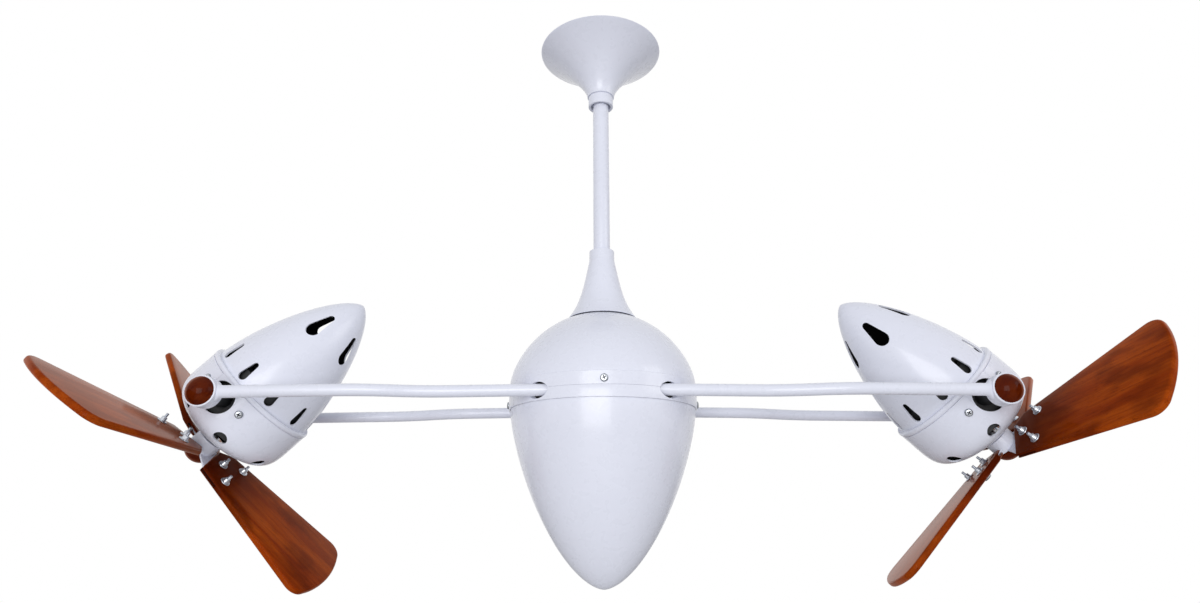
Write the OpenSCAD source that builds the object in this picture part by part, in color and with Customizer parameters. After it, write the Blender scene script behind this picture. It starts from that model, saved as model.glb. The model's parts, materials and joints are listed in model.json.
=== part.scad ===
// Twin head ceiling fan.
// The origin is the middle of the ceiling mounting plane, +Z is up and the fan hangs below it.
// X runs along the arms, and the left head (-X) and right head (+X) hang at either end.

/* [Ceiling bracket] */
// Length of the flat strap
strap_len = 116; // [104:1:120]
// Width of the flat strap
strap_w = 26; // [22:1:30]
// Thickness of the strap and its ears
strap_t = 3; // [2:0.5:4]
// Distance between the two mounting holes
mount_spacing = 88.9; // [80:0.1:92]
// Diameter of each mounting hole
mount_hole_d = 5.2; // [4:0.1:7]
// Width of the two ears along X
ear_w = 24; // [18:1:28]
// Height of the ears below the ceiling
ear_h = 34; // [32:1:38]
// Distance from the ceiling to the hanger bolt
hanger_drop = 24; // [22:0.5:26]

/* [Canopy] */
// Diameter of the canopy's rim at the ceiling
canopy_rim_d = 142; // [132:1:160]
// Height of the canopy's trumpet
canopy_h = 60; // [56:1:66]
// Diameter of the canopy's foot, above the collar
canopy_foot_d = 31; // [30:0.5:34]
// How quickly the trumpet narrows
canopy_curve = 1.6; // [1.4:0.1:2]
// Diameter of the collar that holds the canopy up
collar_d = 28.8; // [28:0.2:30]
// Height of the collar
collar_h = 13; // [11:0.5:16]
// Diameter of the open recess under the collar
collar_recess_d = 23; // [21:0.5:24]

/* [Downrod and coupler] */
// Outer diameter of the downrod
rod_d = 18.2; // [17:0.1:19]
// Wall of the downrod
rod_wall = 2; // [1.5:0.1:2.5]
// Distance from the ceiling to the plane of the arms
body_drop = 420; // [400:5:600]
// Outer diameter of the sleeve that joins rod and spindle
coupler_d = 27; // [25:0.5:29]
// Diameter of the bolts through the rod
rod_bolt_d = 6; // [5:0.5:6.5]

/* [Neck cover] */
// Diameter of the lip round the rod
neck_lip_d = 27.4; // [26.6:0.2:29]
// Height of the lip
neck_lip_h = 11; // [9:0.5:14]
// Diameter where the neck meets the dome
neck_base_d = 74; // [71:1:78]
// Height from the plane of the arms to the lip's lower edge
neck_top = 154.5; // [151:0.5:160]
// Widening per millimetre of height below the lip
neck_slope = 0.205; // [0.18:0.005:0.23]
// Gap between the fixed neck and the turning dome
neck_gap = 1.5; // [1:0.1:2.5]

/* [Body shells] */
// Outer diameter of the band round the body
band_d = 193; // [190:1:200]
// Height of the band above the plane of the arms
band_top = 14; // [12:0.5:16]
// Depth of the band below the plane of the arms
band_bottom = 10.5; // [9.5:0.5:12]
// Height of the seam between upper shell and lower band
seam_z = 1; // [0:0.5:2]
// Height of the dome above the band
dome_h = 79; // [76:1:84]
// Diameter of the opening at the dome's top
dome_opening_d = 60; // [50:1:64]
// Depth of the lower shell below the band
bowl_h = 171; // [160:1:190]
// Diameter of the lower shell's top
bowl_d = 190; // [186:1:192]
// Wall of the body's shells
shell_wall = 1.5; // [1:0.1:2]
// Diameter of the holes that the arms pass through
arm_hole_d = 16; // [14:0.5:18]
// Diameter of the pan heads on the body and heads
pan_head_d = 7.5; // [7:0.1:9]

/* [Arms] */
// Outer diameter of the arm tubes
tube_d = 11.6; // [10.5:0.1:12.5]
// Wall of the arm tubes
tube_wall = 1.5; // [1:0.1:2]
// Half the distance between the front and back arms at the body
arm_y_body = 73; // [72:0.5:74]
// Half the distance between the front and back arms at the heads
arm_y_head = 89; // [88:0.5:90]
// Where each S-bend starts, from the fan's middle
bend_start = 142; // [130:1:170]
// Length of each S-bend along X
bend_len = 107; // [96:1:115]
// Droop of the arms towards the heads, in degrees
arm_droop = 0.7; // [0.4:0.1:1.5]
// Distance from the fan's middle to each head's pivot
pivot_reach = 367; // [350:0.5:390]
// Diameter of the pivot bosses at the ends of the arms
boss_d = 29.3; // [28:0.1:30]
// Distance from the head's middle to the outer end of a boss
boss_outer = 96.5; // [96:0.5:98]
// Length of a boss
boss_len = 15; // [14:0.5:15.5]
// Diameter of the wooden dome caps
cap_d = 26.2; // [25:0.1:27]
// How far the dome caps stand out of the bosses
cap_rise = 7.5; // [6:0.5:9]
// Diameter of the pivot bolts
pivot_bolt_d = 8; // [7:0.5:9]

/* [Head shells] */
// Tilt of the left head below the horizontal, in degrees
tilt_left = 44.6; // [20:0.1:80]
// Tilt of the right head below the horizontal, in degrees
tilt_right = 44.2; // [20:0.1:80]
// Outer diameter of the front shell
head_d = 123.6; // [122:0.2:126]
// Wall of the head shells
head_wall = 1.5; // [1.2:0.1:1.8]
// Distance from the pivot back to the seam between the shells
seam_back = 16.3; // [15.5:0.1:17]
// Length of the front shell, from its rim to its closed end
front_len = 61.5; // [60:0.5:64]
// Width of the bead round the rear shell's rim
bead_w = 5; // [4.5:0.5:6]
// How far the bead stands out past the front shell
bead_lift = 0.5; // [0:0.1:1.5]
// How far the rear shell steps in from the front shell at the bead
rear_inset = 3.8; // [3:0.1:4.5]
// Distance from the pivot back to the tip of the nose
nose_back = 154; // [150:0.5:156]
// Diameter of the round openings for the pivot bosses
pivot_hole_d = 32; // [31:0.5:35]
// Diameter of the opening for the hub in the front shell
hub_opening_d = 25; // [22:1:27]

/* [Vents] */
// Number of drop vents along the seam
seam_vents = 10; // [8:1:12]
// Number of drop vents round the nose
nose_vents = 5; // [4:1:7]
// Number of round vents in the front shell
hub_vents = 7; // [5:1:8]
// Diameter of the round vents
hub_vent_d = 14; // [10:0.5:16]

/* [Motor] */
// Gap between the motor frame and the front shell's outer face
frame_gap = 9.8; // [8:0.1:11]
// Outer diameter of the laminated rotor
rotor_d = 45.6; // [42:0.2:48]
// Air gap between rotor and stator
air_gap = 0.4; // [0.3:0.05:0.6]
// Length of the lamination stack
stack_len = 28; // [24:1:32]
// Diameter of the motor shaft
shaft_d = 8; // [7:0.5:9]
// Outer diameter of the motor bearings
motor_bearing_d = 22; // [21:0.5:24]
// Width of the motor bearings
motor_bearing_w = 7; // [6:0.5:8]

/* [Blades] */
// Diameter of the hub
hub_d = 28; // [26:0.5:30]
// Length of the hub
hub_len = 14.5; // [14:0.5:16]
// Distance from the pivot to the middle of the blades
blade_front = 58; // [57.5:0.5:59.5]
// Pitch of the blades, in degrees
blade_pitch = 12; // [8:0.5:16]
// Thickness of a blade
blade_t = 6.5; // [6:0.5:8]
// Reach of a blade's tip from the hub's axis
blade_reach = 184; // [170:1:192]
// How far the tip bulges out between its corners
tip_bulge = 12; // [8:0.5:16]
// Thickness of the metal tongues in the blades' roots
tongue_t = 2; // [1.5:0.5:2.5]
// Thread diameter of the blade bolts
blade_bolt_d = 3; // [2.5:0.5:3.5]
// Turn of the left rotor's first blade, in degrees
turn_left = 101.5; // [-180:0.5:180]
// Turn of the right rotor's first blade, in degrees
turn_right = -121; // [-180:0.5:180]

/* [Spindle and bearings] */
// Diameter of the fixed spindle
spindle_d = 17; // [16:0.5:18]
// Bore of the spindle for the leads
spindle_bore = 10; // [8:0.5:11]
// Outer diameter of the spindle bearings
bearing_d = 40; // [38:1:42]
// Width of the spindle bearings
bearing_w = 12; // [10:1:13]
// Distance between the inner faces of the spindle bearings
bearing_span = 80; // [70:1:90]
// Diameter of the balls in the spindle bearings
bearing_ball_d = 6.5; // [6:0.1:7]
// Diameter of the contact rings on the spindle
contact_ring_d = 32; // [30:0.5:34]
// Diameter of each motor capacitor
capacitor_d = 28; // [24:1:32]
// Length of each motor capacitor
capacitor_len = 45; // [35:1:50]

/* [Hidden] */
$fn = 64;
eps = 0.01;
fit = 0.1;
run_fit = 0.05;
play = 0.3;

white = "#e1e4ee";
wood = "#7a3a1c";
zinc = "#b9bcc0";
steel = "#8d9196";

LEFT = -1;
RIGHT = 1;
FRONT = -1;
BACK = 1;

// Body
band_r = band_d / 2;
band_in = band_r - shell_wall;
bowl_r = bowl_d / 2;
dome_r = band_r - 0.5;
lip_r = band_in - fit;
lip_in = lip_r - shell_wall;
rail_half = 8.5;
rail_len = 80;
disc_r = 68;
disc_half = 5;
upper_screw_z = (band_top + seam_z) / 2 - 1;
lower_screw_z = (seam_z - band_bottom) / 2 + 0.75;

// Arms: an S-bend is two arcs of one angle and radius, with a short straight between them
bend_middle = 4;
bend_out = arm_y_head - arm_y_body;
bend_r = (pow(bend_len, 2) + pow(bend_out, 2) - pow(bend_middle, 2)) / (4 * bend_out);
bend_angle = atan2(bend_len / 2, bend_r - bend_out / 2) - atan(bend_middle / 2 / bend_r);
draw_in = 0.05;
joint_lap = 0.5;
arm_root = 20;
arm_len = (pivot_reach - arm_root) / cos(arm_droop);
pivot_z = -(pivot_reach - arm_root) * tan(arm_droop);

// Neck and dome: ogive() is 1 at f = 0 and falls to 0 at f = 1
function ogive(f, p, q) = pow(1 - pow(f, p), q);
dome_p = 1.6;
dome_q = 0.48;
bowl_p = 1.4;
bowl_q = 0.6;
function dome_height(r) = band_top + dome_h * pow(1 - pow(r / dome_r, 1 / dome_q), 1 / dome_p);
neck_base_z = dome_height(neck_base_d / 2) + neck_gap;
neck_h = neck_top - neck_base_z;
neck_flare = (neck_base_d - neck_lip_d) / 2 - neck_slope * neck_h;
function neck_radius(t) = neck_lip_d / 2 + neck_slope * neck_h * t + neck_flare * pow(t, 4);
neck_wall = 1.2;

// Downrod and what joins it to the spindle
rod_top = -14;
rod_end_z = neck_top - 46;
rod_bottom = rod_end_z - body_drop;
coupler_top = neck_top - 24;
coupler_bottom = 78;
coupler_bolt_z = [coupler_top - 14, coupler_bottom + 14];
spindle_top = rod_end_z - 4;

// Spindle bearings and what sits below them
bearing_in = bearing_span / 2;
bearing_out = bearing_in + bearing_w;
ball_ring_r = (spindle_d + bearing_d) / 4;
race_gap = 5;
balls_in_bearing = 8;
nut_h = 8;
drum_top = -(bearing_out + nut_h + 2);
drum_len = 26;
drum_d = contact_ring_d - 4;
contact_rings = 4;
ring_step = 6;
ring_w = 3;
spindle_bottom = drum_top - drum_len - 6;

// Head, measured along its axis from the pivot, + towards the blades
head_r = head_d / 2;
bead_r = head_r + bead_lift;
rear_r = head_r - rear_inset;
skirt_r = head_r - head_wall - play;
skirt_in = skirt_r - head_wall;
skirt_front = 1;
rear_start = seam_back + bead_w;
rear_len = nose_back - rear_start;
rear_p = 1.48;
rear_q = 0.65;
front_p = 6.4;
front_q = 0.74;
head_screw_s = -2.5;
head_screw_turn = 24;
frame_r = head_r - frame_gap;
frame_in = frame_r - 5;
frame_back = -30;
frame_front = 26;
washer_t = 1.8;
boss_inner = boss_outer - boss_len;
pad_y = boss_inner - 0.2 - washer_t;
pad_r = 9;
socket_floor = boss_inner + 4;
socket_r = boss_d / 2 - 3.5;
bearing_seat_front = 21;
bearing_seat_back = 34;
hub_back = blade_front - 11.5;

// Blades, drawn with X along the blade and Y across it
root_lead = [18, 29.5];
root_trail = [14, -12];
root_corner = [27.5, -25];
tip_trail = [blade_reach - 6, -41];
tip_lead = [blade_reach - 17, 71];
tip_round = 15;
blade_bolts_at = [[28, 3], [43, 23], [46, -14]];
blades_per_hub = 3;
tongue_end = 56;
tongue_trail = -20;
tongue_lead = 36;

// ---- Helpers ----

// Moves its children from the plane of the arms to the hanging body
module at_body() {
    translate([0, 0, -body_drop])
        children();
}

// Puts its children on a head: Z becomes the head's axis towards the blades
module at_head(side) {
    tilt = side == LEFT ? tilt_left : tilt_right;
    at_body()
        rotate([0, 0, side == LEFT ? 180 : 0])
            translate([pivot_reach, 0, pivot_z])
                rotate([0, 90 + tilt, 0])
                    children();
}

// Puts its children on one of the four arms, as if it were the front right one
module at_arm(side, row) {
    at_body()
        mirror([side == LEFT ? 1 : 0, 0, 0])
            mirror([0, row == BACK ? 1 : 0, 0])
                translate([arm_root, 0, 0])
                    rotate([0, arm_droop, 0])
                        children();
}

module ring(outer_r, inner_r, z0, z1) {
    translate([0, 0, z0])
        difference() {
            cylinder(r = outer_r, h = z1 - z0);
            translate([0, 0, -eps])
                cylinder(r = inner_r, h = z1 - z0 + 2 * eps);
        }
}

// A cylinder along Y from y0 to y1
module rod_y(r, y0, y1) {
    translate([0, y0, 0])
        rotate([-90, 0, 0])
            cylinder(r = r, h = y1 - y0);
}

// A cylinder along X from x0 to x1
module rod_x(r, x0, x1) {
    translate([x0, 0, 0])
        rotate([0, 90, 0])
            cylinder(r = r, h = x1 - x0);
}

// A pan head screw along X, its head standing out from x = 0
module pan_screw(head_d, thread_d, len) {
    head_h = 0.35 * head_d;
    rotate([0, 90, 0])
        difference() {
            union() {
                translate([0, 0, -len])
                    cylinder(d = thread_d, h = len + eps);
                rotate_extrude()
                    polygon([[0, 0], [head_d / 2, 0], [head_d / 2, 0.4 * head_h],
                        [0.44 * head_d, 0.75 * head_h], [0.3 * head_d, head_h], [0, head_h]]);
            }
            for (turn = [0, 90])
                rotate([0, 0, turn])
                    translate([-0.3 * head_d, -0.06 * head_d, 0.5 * head_h])
                        cube([0.6 * head_d, 0.12 * head_d, head_h]);
        }
}

// A bolt along Y with a hexagon head and a nut, clamping what is as wide as its grip
module through_bolt(grip) {
    head_h = 0.6 * rod_bolt_d;
    nut_t = 0.75 * rod_bolt_d;
    head_w = 1.75 * rod_bolt_d;
    rod_y(rod_bolt_d / 2 - run_fit, -grip / 2 - eps, grip / 2 + nut_t + 1);
    translate([0, -grip / 2, 0])
        rotate([90, 0, 0])
            cylinder(d = head_w, h = head_h, $fn = 6);
    translate([0, grip / 2, 0])
        rotate([-90, 0, 0])
            difference() {
                cylinder(d = head_w, h = nut_t, $fn = 6);
                translate([0, 0, -eps])
                    cylinder(d = rod_bolt_d, h = nut_t + 1);
            }
}

// A drop outline: a fat round end at the origin and a small one at [0, -len]
function drop_points(fat, thin, len) =
    let (lean = asin((fat - thin) / len))
    concat([for (i = [0:8]) let (a = -lean + (180 + 2 * lean) * i / 8) fat * [cos(a), sin(a)]],
        [for (i = [0:4]) let (a = 180 + lean + (180 - 2 * lean) * i / 4)
            thin * [cos(a), sin(a)] - [0, len]]);

// A drop hole through a shell, at a turn about the head's axis
module drop_cut(turn, s, fat, thin, len) {
    rotate([0, 0, turn])
        translate([0, 0, s])
            rotate([90, 0, 90])
                linear_extrude(head_r + 10)
                    polygon(drop_points(fat, thin, len));
}

// ---- Fixed parts at the ceiling ----

module ceiling_bracket() {
    ear_in = strap_w / 2 - strap_t;
    color(zinc)
        difference() {
            union() {
                translate([-strap_len / 2, -strap_w / 2, -strap_t])
                    cube([strap_len, strap_w, strap_t]);
                for (row = [FRONT, BACK])
                    translate([-ear_w / 2, row * (ear_in + strap_t / 2) - strap_t / 2, -ear_h])
                        cube([ear_w, strap_t, ear_h]);
            }
            for (side = [LEFT, RIGHT])
                translate([side * mount_spacing / 2, 0, -strap_t - 1])
                    cylinder(d = mount_hole_d, h = strap_t + 2);
            translate([0, 0, -strap_t - 1])
                cylinder(d = rod_d - 2 * rod_wall, h = strap_t + 2);
            translate([0, 0, -hanger_drop])
                rod_y(rod_bolt_d / 2, -strap_w, strap_w);
        }
}

module rod_bolts() {
    color(zinc) {
        translate([0, 0, -hanger_drop])
            through_bolt(strap_w);
        for (z = coupler_bolt_z)
            translate([0, 0, z - body_drop])
                through_bolt(coupler_d);
    }
}

function canopy_radius(t) =
    canopy_foot_d / 2 + (canopy_rim_d - canopy_foot_d) / 2 * pow(1 - t, canopy_curve);

module canopy() {
    steps = 18;
    foot_t = 1.5;
    outer = [for (i = [0:steps]) [canopy_radius(i / steps), -canopy_h * i / steps]];
    inner = [for (i = [steps - 1:-1:0])
        [canopy_radius(i / steps) - 1.3 * shell_wall, -canopy_h * i / steps]];
    color(white)
        rotate_extrude()
            polygon(concat(outer, [[rod_d / 2 + play, -canopy_h], [rod_d / 2 + play, foot_t - canopy_h],
                [canopy_foot_d / 2 - 1.3 * shell_wall, foot_t - canopy_h]], inner));
}

module canopy_collar() {
    top = -canopy_h - 0.2;
    bottom = -canopy_h - collar_h;
    bore = rod_d / 2 + fit;
    edge = 1.8;
    color(white)
        difference() {
            rotate_extrude()
                polygon([[bore, top], [collar_d / 2, top], [collar_d / 2, bottom + edge],
                    [collar_d / 2 - edge, bottom], [collar_recess_d / 2, bottom],
                    [collar_recess_d / 2, top - 6], [bore, top - 6]]);
            translate([0, 0, top - 3])
                rod_y(2, 0, collar_d);
        }
}

module grub_screws() {
    color(steel) {
        translate([0, 0, -canopy_h - 3.2])
            rod_y(2 - run_fit, rod_d / 2 + 0.05, collar_d / 2 - 0.5);
        translate([0, 0, neck_top + neck_lip_h / 2 - body_drop])
            rod_y(2 - run_fit, rod_d / 2 + 0.05, neck_lip_d / 2 - 0.5);
    }
}

module downrod() {
    color(white)
        difference() {
            ring(rod_d / 2, rod_d / 2 - rod_wall, rod_bottom, rod_top);
            for (z = [-hanger_drop, coupler_bolt_z[0] - body_drop])
                translate([0, 0, z])
                    rod_y(rod_bolt_d / 2, -rod_d, rod_d);
        }
}

module neck_cover() {
    steps = 20;
    outer = [for (i = [0:steps]) [neck_radius(i / steps), neck_top - neck_h * i / steps]];
    inner = [for (i = [steps:-1:1])
        [neck_radius(i / steps) - 1.5 * neck_wall, neck_top - neck_h * i / steps]];
    bore = rod_d / 2 + fit;
    color(white)
        at_body()
            difference() {
                rotate_extrude()
                    polygon(concat([[bore, neck_top + neck_lip_h],
                        [neck_lip_d / 2 - 0.8, neck_top + neck_lip_h],
                        [neck_lip_d / 2, neck_top + neck_lip_h - 0.8]],
                        outer, inner, [[bore, neck_top - 2]]));
                translate([0, 0, neck_top + neck_lip_h / 2])
                    rod_y(2, 0, neck_lip_d);
            }
}

module rod_coupler() {
    color(steel)
        at_body()
            difference() {
                translate([0, 0, coupler_bottom])
                    cylinder(d = coupler_d, h = coupler_top - coupler_bottom);
                translate([0, 0, rod_end_z])
                    cylinder(d = rod_d + fit, h = coupler_top);
                translate([0, 0, coupler_bottom - 1])
                    cylinder(d = spindle_d + fit, h = spindle_top - coupler_bottom + 1);
                cylinder(d = spindle_bore, h = coupler_top);
                for (z = coupler_bolt_z)
                    translate([0, 0, z])
                        rod_y(rod_bolt_d / 2, -coupler_d, coupler_d);
            }
}

module spindle() {
    color(steel)
        at_body()
            difference() {
                union() {
                    translate([0, 0, spindle_bottom])
                        cylinder(d = spindle_d, h = spindle_top - spindle_bottom);
                    translate([0, 0, bearing_out])
                        cylinder(d = spindle_d + 5, h = 5);
                }
                translate([0, 0, spindle_bottom - 1])
                    cylinder(d = spindle_bore, h = spindle_top - spindle_bottom + 2);
                translate([0, 0, coupler_bolt_z[1]])
                    rod_y(rod_bolt_d / 2, -coupler_d, coupler_d);
            }
}

// Places its children in the upper and the lower spindle bearing
module at_bearings() {
    at_body()
        for (z = [bearing_in, -bearing_out])
            translate([0, 0, z])
                children();
}

module ball_groove() {
    translate([0, 0, bearing_w / 2])
        rotate_extrude()
            translate([ball_ring_r, 0])
                circle(d = bearing_ball_d + 0.4, $fn = 32);
}

module bearing_inner_races() {
    color(steel)
        at_bearings()
            difference() {
                ring(ball_ring_r - race_gap / 2, spindle_d / 2, 0, bearing_w);
                ball_groove();
            }
}

module spindle_bearings() {
    color(steel)
        at_bearings() {
            difference() {
                ring(bearing_d / 2, ball_ring_r + race_gap / 2, 0, bearing_w);
                ball_groove();
            }
            for (i = [0:balls_in_bearing - 1])
                rotate([0, 0, 360 * i / balls_in_bearing])
                    translate([ball_ring_r, 0, bearing_w / 2])
                        sphere(d = bearing_ball_d, $fn = 24);
        }
}

module spindle_nut() {
    color(zinc)
        at_body()
            translate([0, 0, -bearing_out - nut_h])
                difference() {
                    cylinder(d = 1.5 * spindle_d, h = nut_h, $fn = 6);
                    translate([0, 0, -1])
                        cylinder(d = spindle_d, h = nut_h + 2);
                }
}

module contact_rings() {
    at_body() {
        color("#2b2623")
            ring(drum_d / 2, spindle_d / 2, drum_top - drum_len, drum_top);
        color("#b58a3c")
            for (i = [0:contact_rings - 1])
                ring(contact_ring_d / 2, drum_d / 2,
                    drum_top - 3 - ring_step * i - ring_w, drum_top - 3 - ring_step * i);
    }
}

// ---- Turning body ----

// One arc of an S-bend, from its start along +Y of its own circle
module arm_arc(r) {
    rotate_extrude(angle = bend_angle)
        translate([bend_r, 0])
            circle(r = r);
}

// The path of one arm tube at a given radius, from the carrier to the boss:
// the tube draws in a little round its bends
module tube_path(r, start) {
    bend_x = bend_start - arm_root;
    translate([0, -arm_y_body, 0])
        rod_x(r, start, bend_x + joint_lap);
    translate([bend_x, -arm_y_body - bend_r, 0])
        rotate([0, 0, 90 - bend_angle])
            arm_arc(r - draw_in);
    translate([bend_x + bend_len / 2, -(arm_y_body + arm_y_head) / 2, 0])
        rotate([0, 0, -bend_angle])
            rod_x(r, -bend_middle / 2 - joint_lap, bend_middle / 2 + joint_lap);
    translate([bend_x + bend_len, -arm_y_head + bend_r, 0])
        rotate([0, 0, -90 - bend_angle])
            arm_arc(r - draw_in);
    translate([0, -arm_y_head, 0])
        rod_x(r, bend_x + bend_len - joint_lap, arm_len);
}

module arm(side, row) {
    color(white)
        at_arm(side, row)
            difference() {
                union() {
                    tube_path(tube_d / 2, 0);
                    translate([arm_len, 0, 0])
                        rod_y(boss_d / 2, -boss_outer, -boss_inner);
                }
                tube_path(tube_d / 2 - tube_wall, -1);
                translate([arm_len, 0, 0]) {
                    rod_y(pivot_bolt_d / 2 + run_fit, -boss_outer - 1, -boss_inner + 1);
                    rod_y(socket_r, -boss_outer - 1, -socket_floor);
                    rod_y(cap_d / 2 + fit, -boss_outer - 1, -boss_outer + 1.5 + fit);
                }
            }
}

// Dome caps, each a shallow dome with a rim let into its boss and a plug below
module dome_caps() {
    plug_r = socket_r - fit;
    dome_r = (pow(cap_d / 2, 2) + pow(cap_rise, 2)) / (2 * cap_rise);
    spread = asin(cap_d / 2 / dome_r);
    color(wood)
        for (side = [LEFT, RIGHT], row = [FRONT, BACK])
            at_arm(side, row)
                translate([arm_len, -boss_outer, 0])
                    rotate([90, 0, 0])
                        rotate_extrude()
                            polygon(concat([[0, -5], [plug_r, -5], [plug_r, -1.5], [cap_d / 2, -1.5]],
                                [for (i = [8:-1:0]) let (a = spread * i / 8)
                                    [dome_r * sin(a), cap_rise - dome_r * (1 - cos(a))]]));
}

// The holes that the arms' inner ends sit in
module arm_bores() {
    for (side = [LEFT, RIGHT], row = [FRONT, BACK])
        mirror([side == LEFT ? 1 : 0, 0, 0])
            mirror([0, row == BACK ? 1 : 0, 0])
                translate([arm_root, -arm_y_body, 0])
                    rotate([0, arm_droop, 0])
                        rod_x(tube_d / 2 + run_fit, -arm_root, band_r);
}

module carrier() {
    tube_r = bearing_d / 2 + 5;
    lug_end = lip_in - 1;
    color("#a7abb0")
        at_body()
            difference() {
                union() {
                    translate([0, 0, -bearing_out])
                        cylinder(r = tube_r, h = 2 * bearing_out);
                    translate([0, 0, -disc_half])
                        cylinder(r = disc_r, h = 2 * disc_half);
                    for (row = [FRONT, BACK]) {
                        translate([-rail_len / 2, row * arm_y_body - rail_half, -rail_half])
                            cube([rail_len, 2 * rail_half, 2 * rail_half]);
                        rotate([0, 0, 90 * row])
                            translate([arm_y_body, -7, upper_screw_z - 5])
                                cube([lug_end - arm_y_body, 14, 10]);
                    }
                    for (side = [LEFT, RIGHT])
                        rotate([0, 0, side == LEFT ? 180 : 0])
                            translate([disc_r - 8, -7, lower_screw_z - 5])
                                cube([lug_end - disc_r + 8, 14, 10]);
                }
                translate([0, 0, bearing_in])
                    cylinder(d = bearing_d, h = bearing_w + 1);
                translate([0, 0, -bearing_out - 1])
                    cylinder(d = bearing_d, h = bearing_w + 1);
                translate([0, 0, -bearing_out])
                    cylinder(d = bearing_d - 8, h = 2 * bearing_out);
                arm_bores();
                at_shell_screws()
                    rod_x(1.5, -lug_end, 0);
                for (side = [LEFT, RIGHT], row = [FRONT, BACK])
                    translate([side * (arm_root + 10), row * arm_y_body, 0])
                        cylinder(d = 4, h = rail_half + 1);
            }
}

// Places its children on the band at the four shell screws, with X pointing outwards
module at_shell_screws() {
    for (turn = [90, 270])
        rotate([0, 0, turn])
            translate([band_r, 0, upper_screw_z])
                children();
    for (turn = [0, 180])
        rotate([0, 0, turn])
            translate([band_r, 0, lower_screw_z])
                children();
}

module shell_screws() {
    color(zinc)
        at_body()
            at_shell_screws()
                pan_screw(pan_head_d, 3, 12);
}

module arm_screws() {
    tube_top = tube_d / 2 + 0.3;
    color(zinc)
        at_body()
            for (side = [LEFT, RIGHT], row = [FRONT, BACK])
                translate([side * (arm_root + 10), row * arm_y_body, rail_half])
                    rotate([0, -90, 0])
                        pan_screw(7, 4 - 2 * run_fit, rail_half - tube_top);
}

// The four arm holes and four screw holes, cut through whatever shell calls for them
module band_cuts() {
    for (side = [LEFT, RIGHT], row = [FRONT, BACK])
        translate([0, row * arm_y_body, 0])
            rotate([0, side * arm_droop, 0])
                rotate([0, 0, side == LEFT ? 180 : 0])
                    rod_x(arm_hole_d / 2, rail_len / 2, band_r);
    at_shell_screws()
        rod_x(1.6, -shell_wall * 3, 1);
}

module upper_shell() {
    steps = 18;
    edge_f = pow(1 - pow(dome_opening_d / 2 / dome_r, 1 / dome_q), 1 / dome_p);
    f = [for (i = [0:steps]) edge_f * sin(90 * i / steps)];
    outer = [for (v = f) [dome_r * ogive(v, dome_p, dome_q), band_top + dome_h * v]];
    inner = [for (i = [steps:-1:0])
        [dome_r * ogive(f[i], dome_p, dome_q) - shell_wall, band_top + dome_h * f[i] - shell_wall * f[i]]];
    color(white)
        at_body()
            difference() {
                rotate_extrude()
                    polygon(concat([[band_in, seam_z], [band_r, seam_z], [band_r, band_top]],
                        outer, inner));
                band_cuts();
            }
}

module lower_band() {
    color(white)
        at_body()
            difference() {
                ring(band_r, band_in, -band_bottom, seam_z - fit);
                band_cuts();
            }
}

module lower_shell() {
    steps = 22;
    top = -band_bottom;
    f = [for (i = [0:steps]) sin(90 * i / steps)];
    outer = [for (v = f) [bowl_r * ogive(v, bowl_p, bowl_q), top - fit - bowl_h * v]];
    inner = [for (i = [steps - 1:-1:1])
        [(bowl_r - 1.3 * shell_wall) * ogive(f[i], bowl_p, bowl_q),
            top - (bowl_h - 2.5 * shell_wall) * f[i]]];
    color(white)
        at_body()
            difference() {
                rotate_extrude()
                    polygon(concat([[lip_r, seam_z - 1], [lip_r, top - fit]], outer,
                        [[0, top - bowl_h + 2.5 * shell_wall]], inner,
                        [[lip_in, top], [lip_in, seam_z - 1]]));
                band_cuts();
            }
}

module brush_block() {
    block_x = contact_ring_d / 2 + 3;
    leg_x = bearing_d / 2 + 7;
    brush_d = ring_w - 0.4;
    at_body() {
        color("#2b2623") {
            translate([block_x, -8, drum_top - drum_len])
                cube([leg_x + 4 - block_x, 16, drum_len]);
            translate([leg_x, -8, drum_top - drum_len])
                cube([4, 16, -disc_half - drum_top + drum_len]);
        }
        color("#5a4a3c")
            for (i = [0:contact_rings - 1])
                translate([0, 0, drum_top - 3 - ring_step * i - ring_w / 2])
                    rod_x(brush_d / 2, contact_ring_d / 2 + play, block_x);
    }
}

module motor_capacitors() {
    color("#e8e8e6")
        at_body()
            for (side = [LEFT, RIGHT])
                translate([side * (disc_r - capacitor_d / 2 - 8), 0, -disc_half - capacitor_len])
                    cylinder(d = capacitor_d, h = capacitor_len);
}

// ---- Heads ----

// Places its children at a head's two pivots, with Y pointing outwards
module at_pivots() {
    for (turn = [0, 180])
        rotate([0, 0, turn])
            children();
}

// Places its children at a head's four shell screws, with X pointing outwards from the shell
module at_head_screws() {
    for (from = [90, 270], turn = [from - head_screw_turn, from + head_screw_turn])
        rotate([0, 0, turn])
            translate([head_r, 0, head_screw_s])
                children();
}

module motor_frame(side) {
    seat_r = motor_bearing_d / 2;
    color("#2a2b2d")
        at_head(side)
            difference() {
                union() {
                    ring(frame_r, frame_in, frame_back, frame_front);
                    ring(frame_in + 1, seat_r, frame_front - 4, frame_front);
                    ring(seat_r + 4, seat_r, bearing_seat_front, bearing_seat_front + motor_bearing_w + 1);
                    at_pivots()
                        rod_y(pad_r, frame_in + 1, pad_y);
                    at_head_screws()
                        rod_x(4.5, frame_in + 1 - head_r, skirt_in - head_r - play);
                }
                at_pivots()
                    rod_y(pivot_bolt_d / 2, frame_in - 2, pad_y + 1);
                at_head_screws()
                    rod_x(1.5, -12, 0);
                for (turn = [0:60:300])
                    rotate([0, 0, turn])
                        translate([31, 0, frame_front - 5])
                            cylinder(r = 7, h = 6);
            }
}

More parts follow.
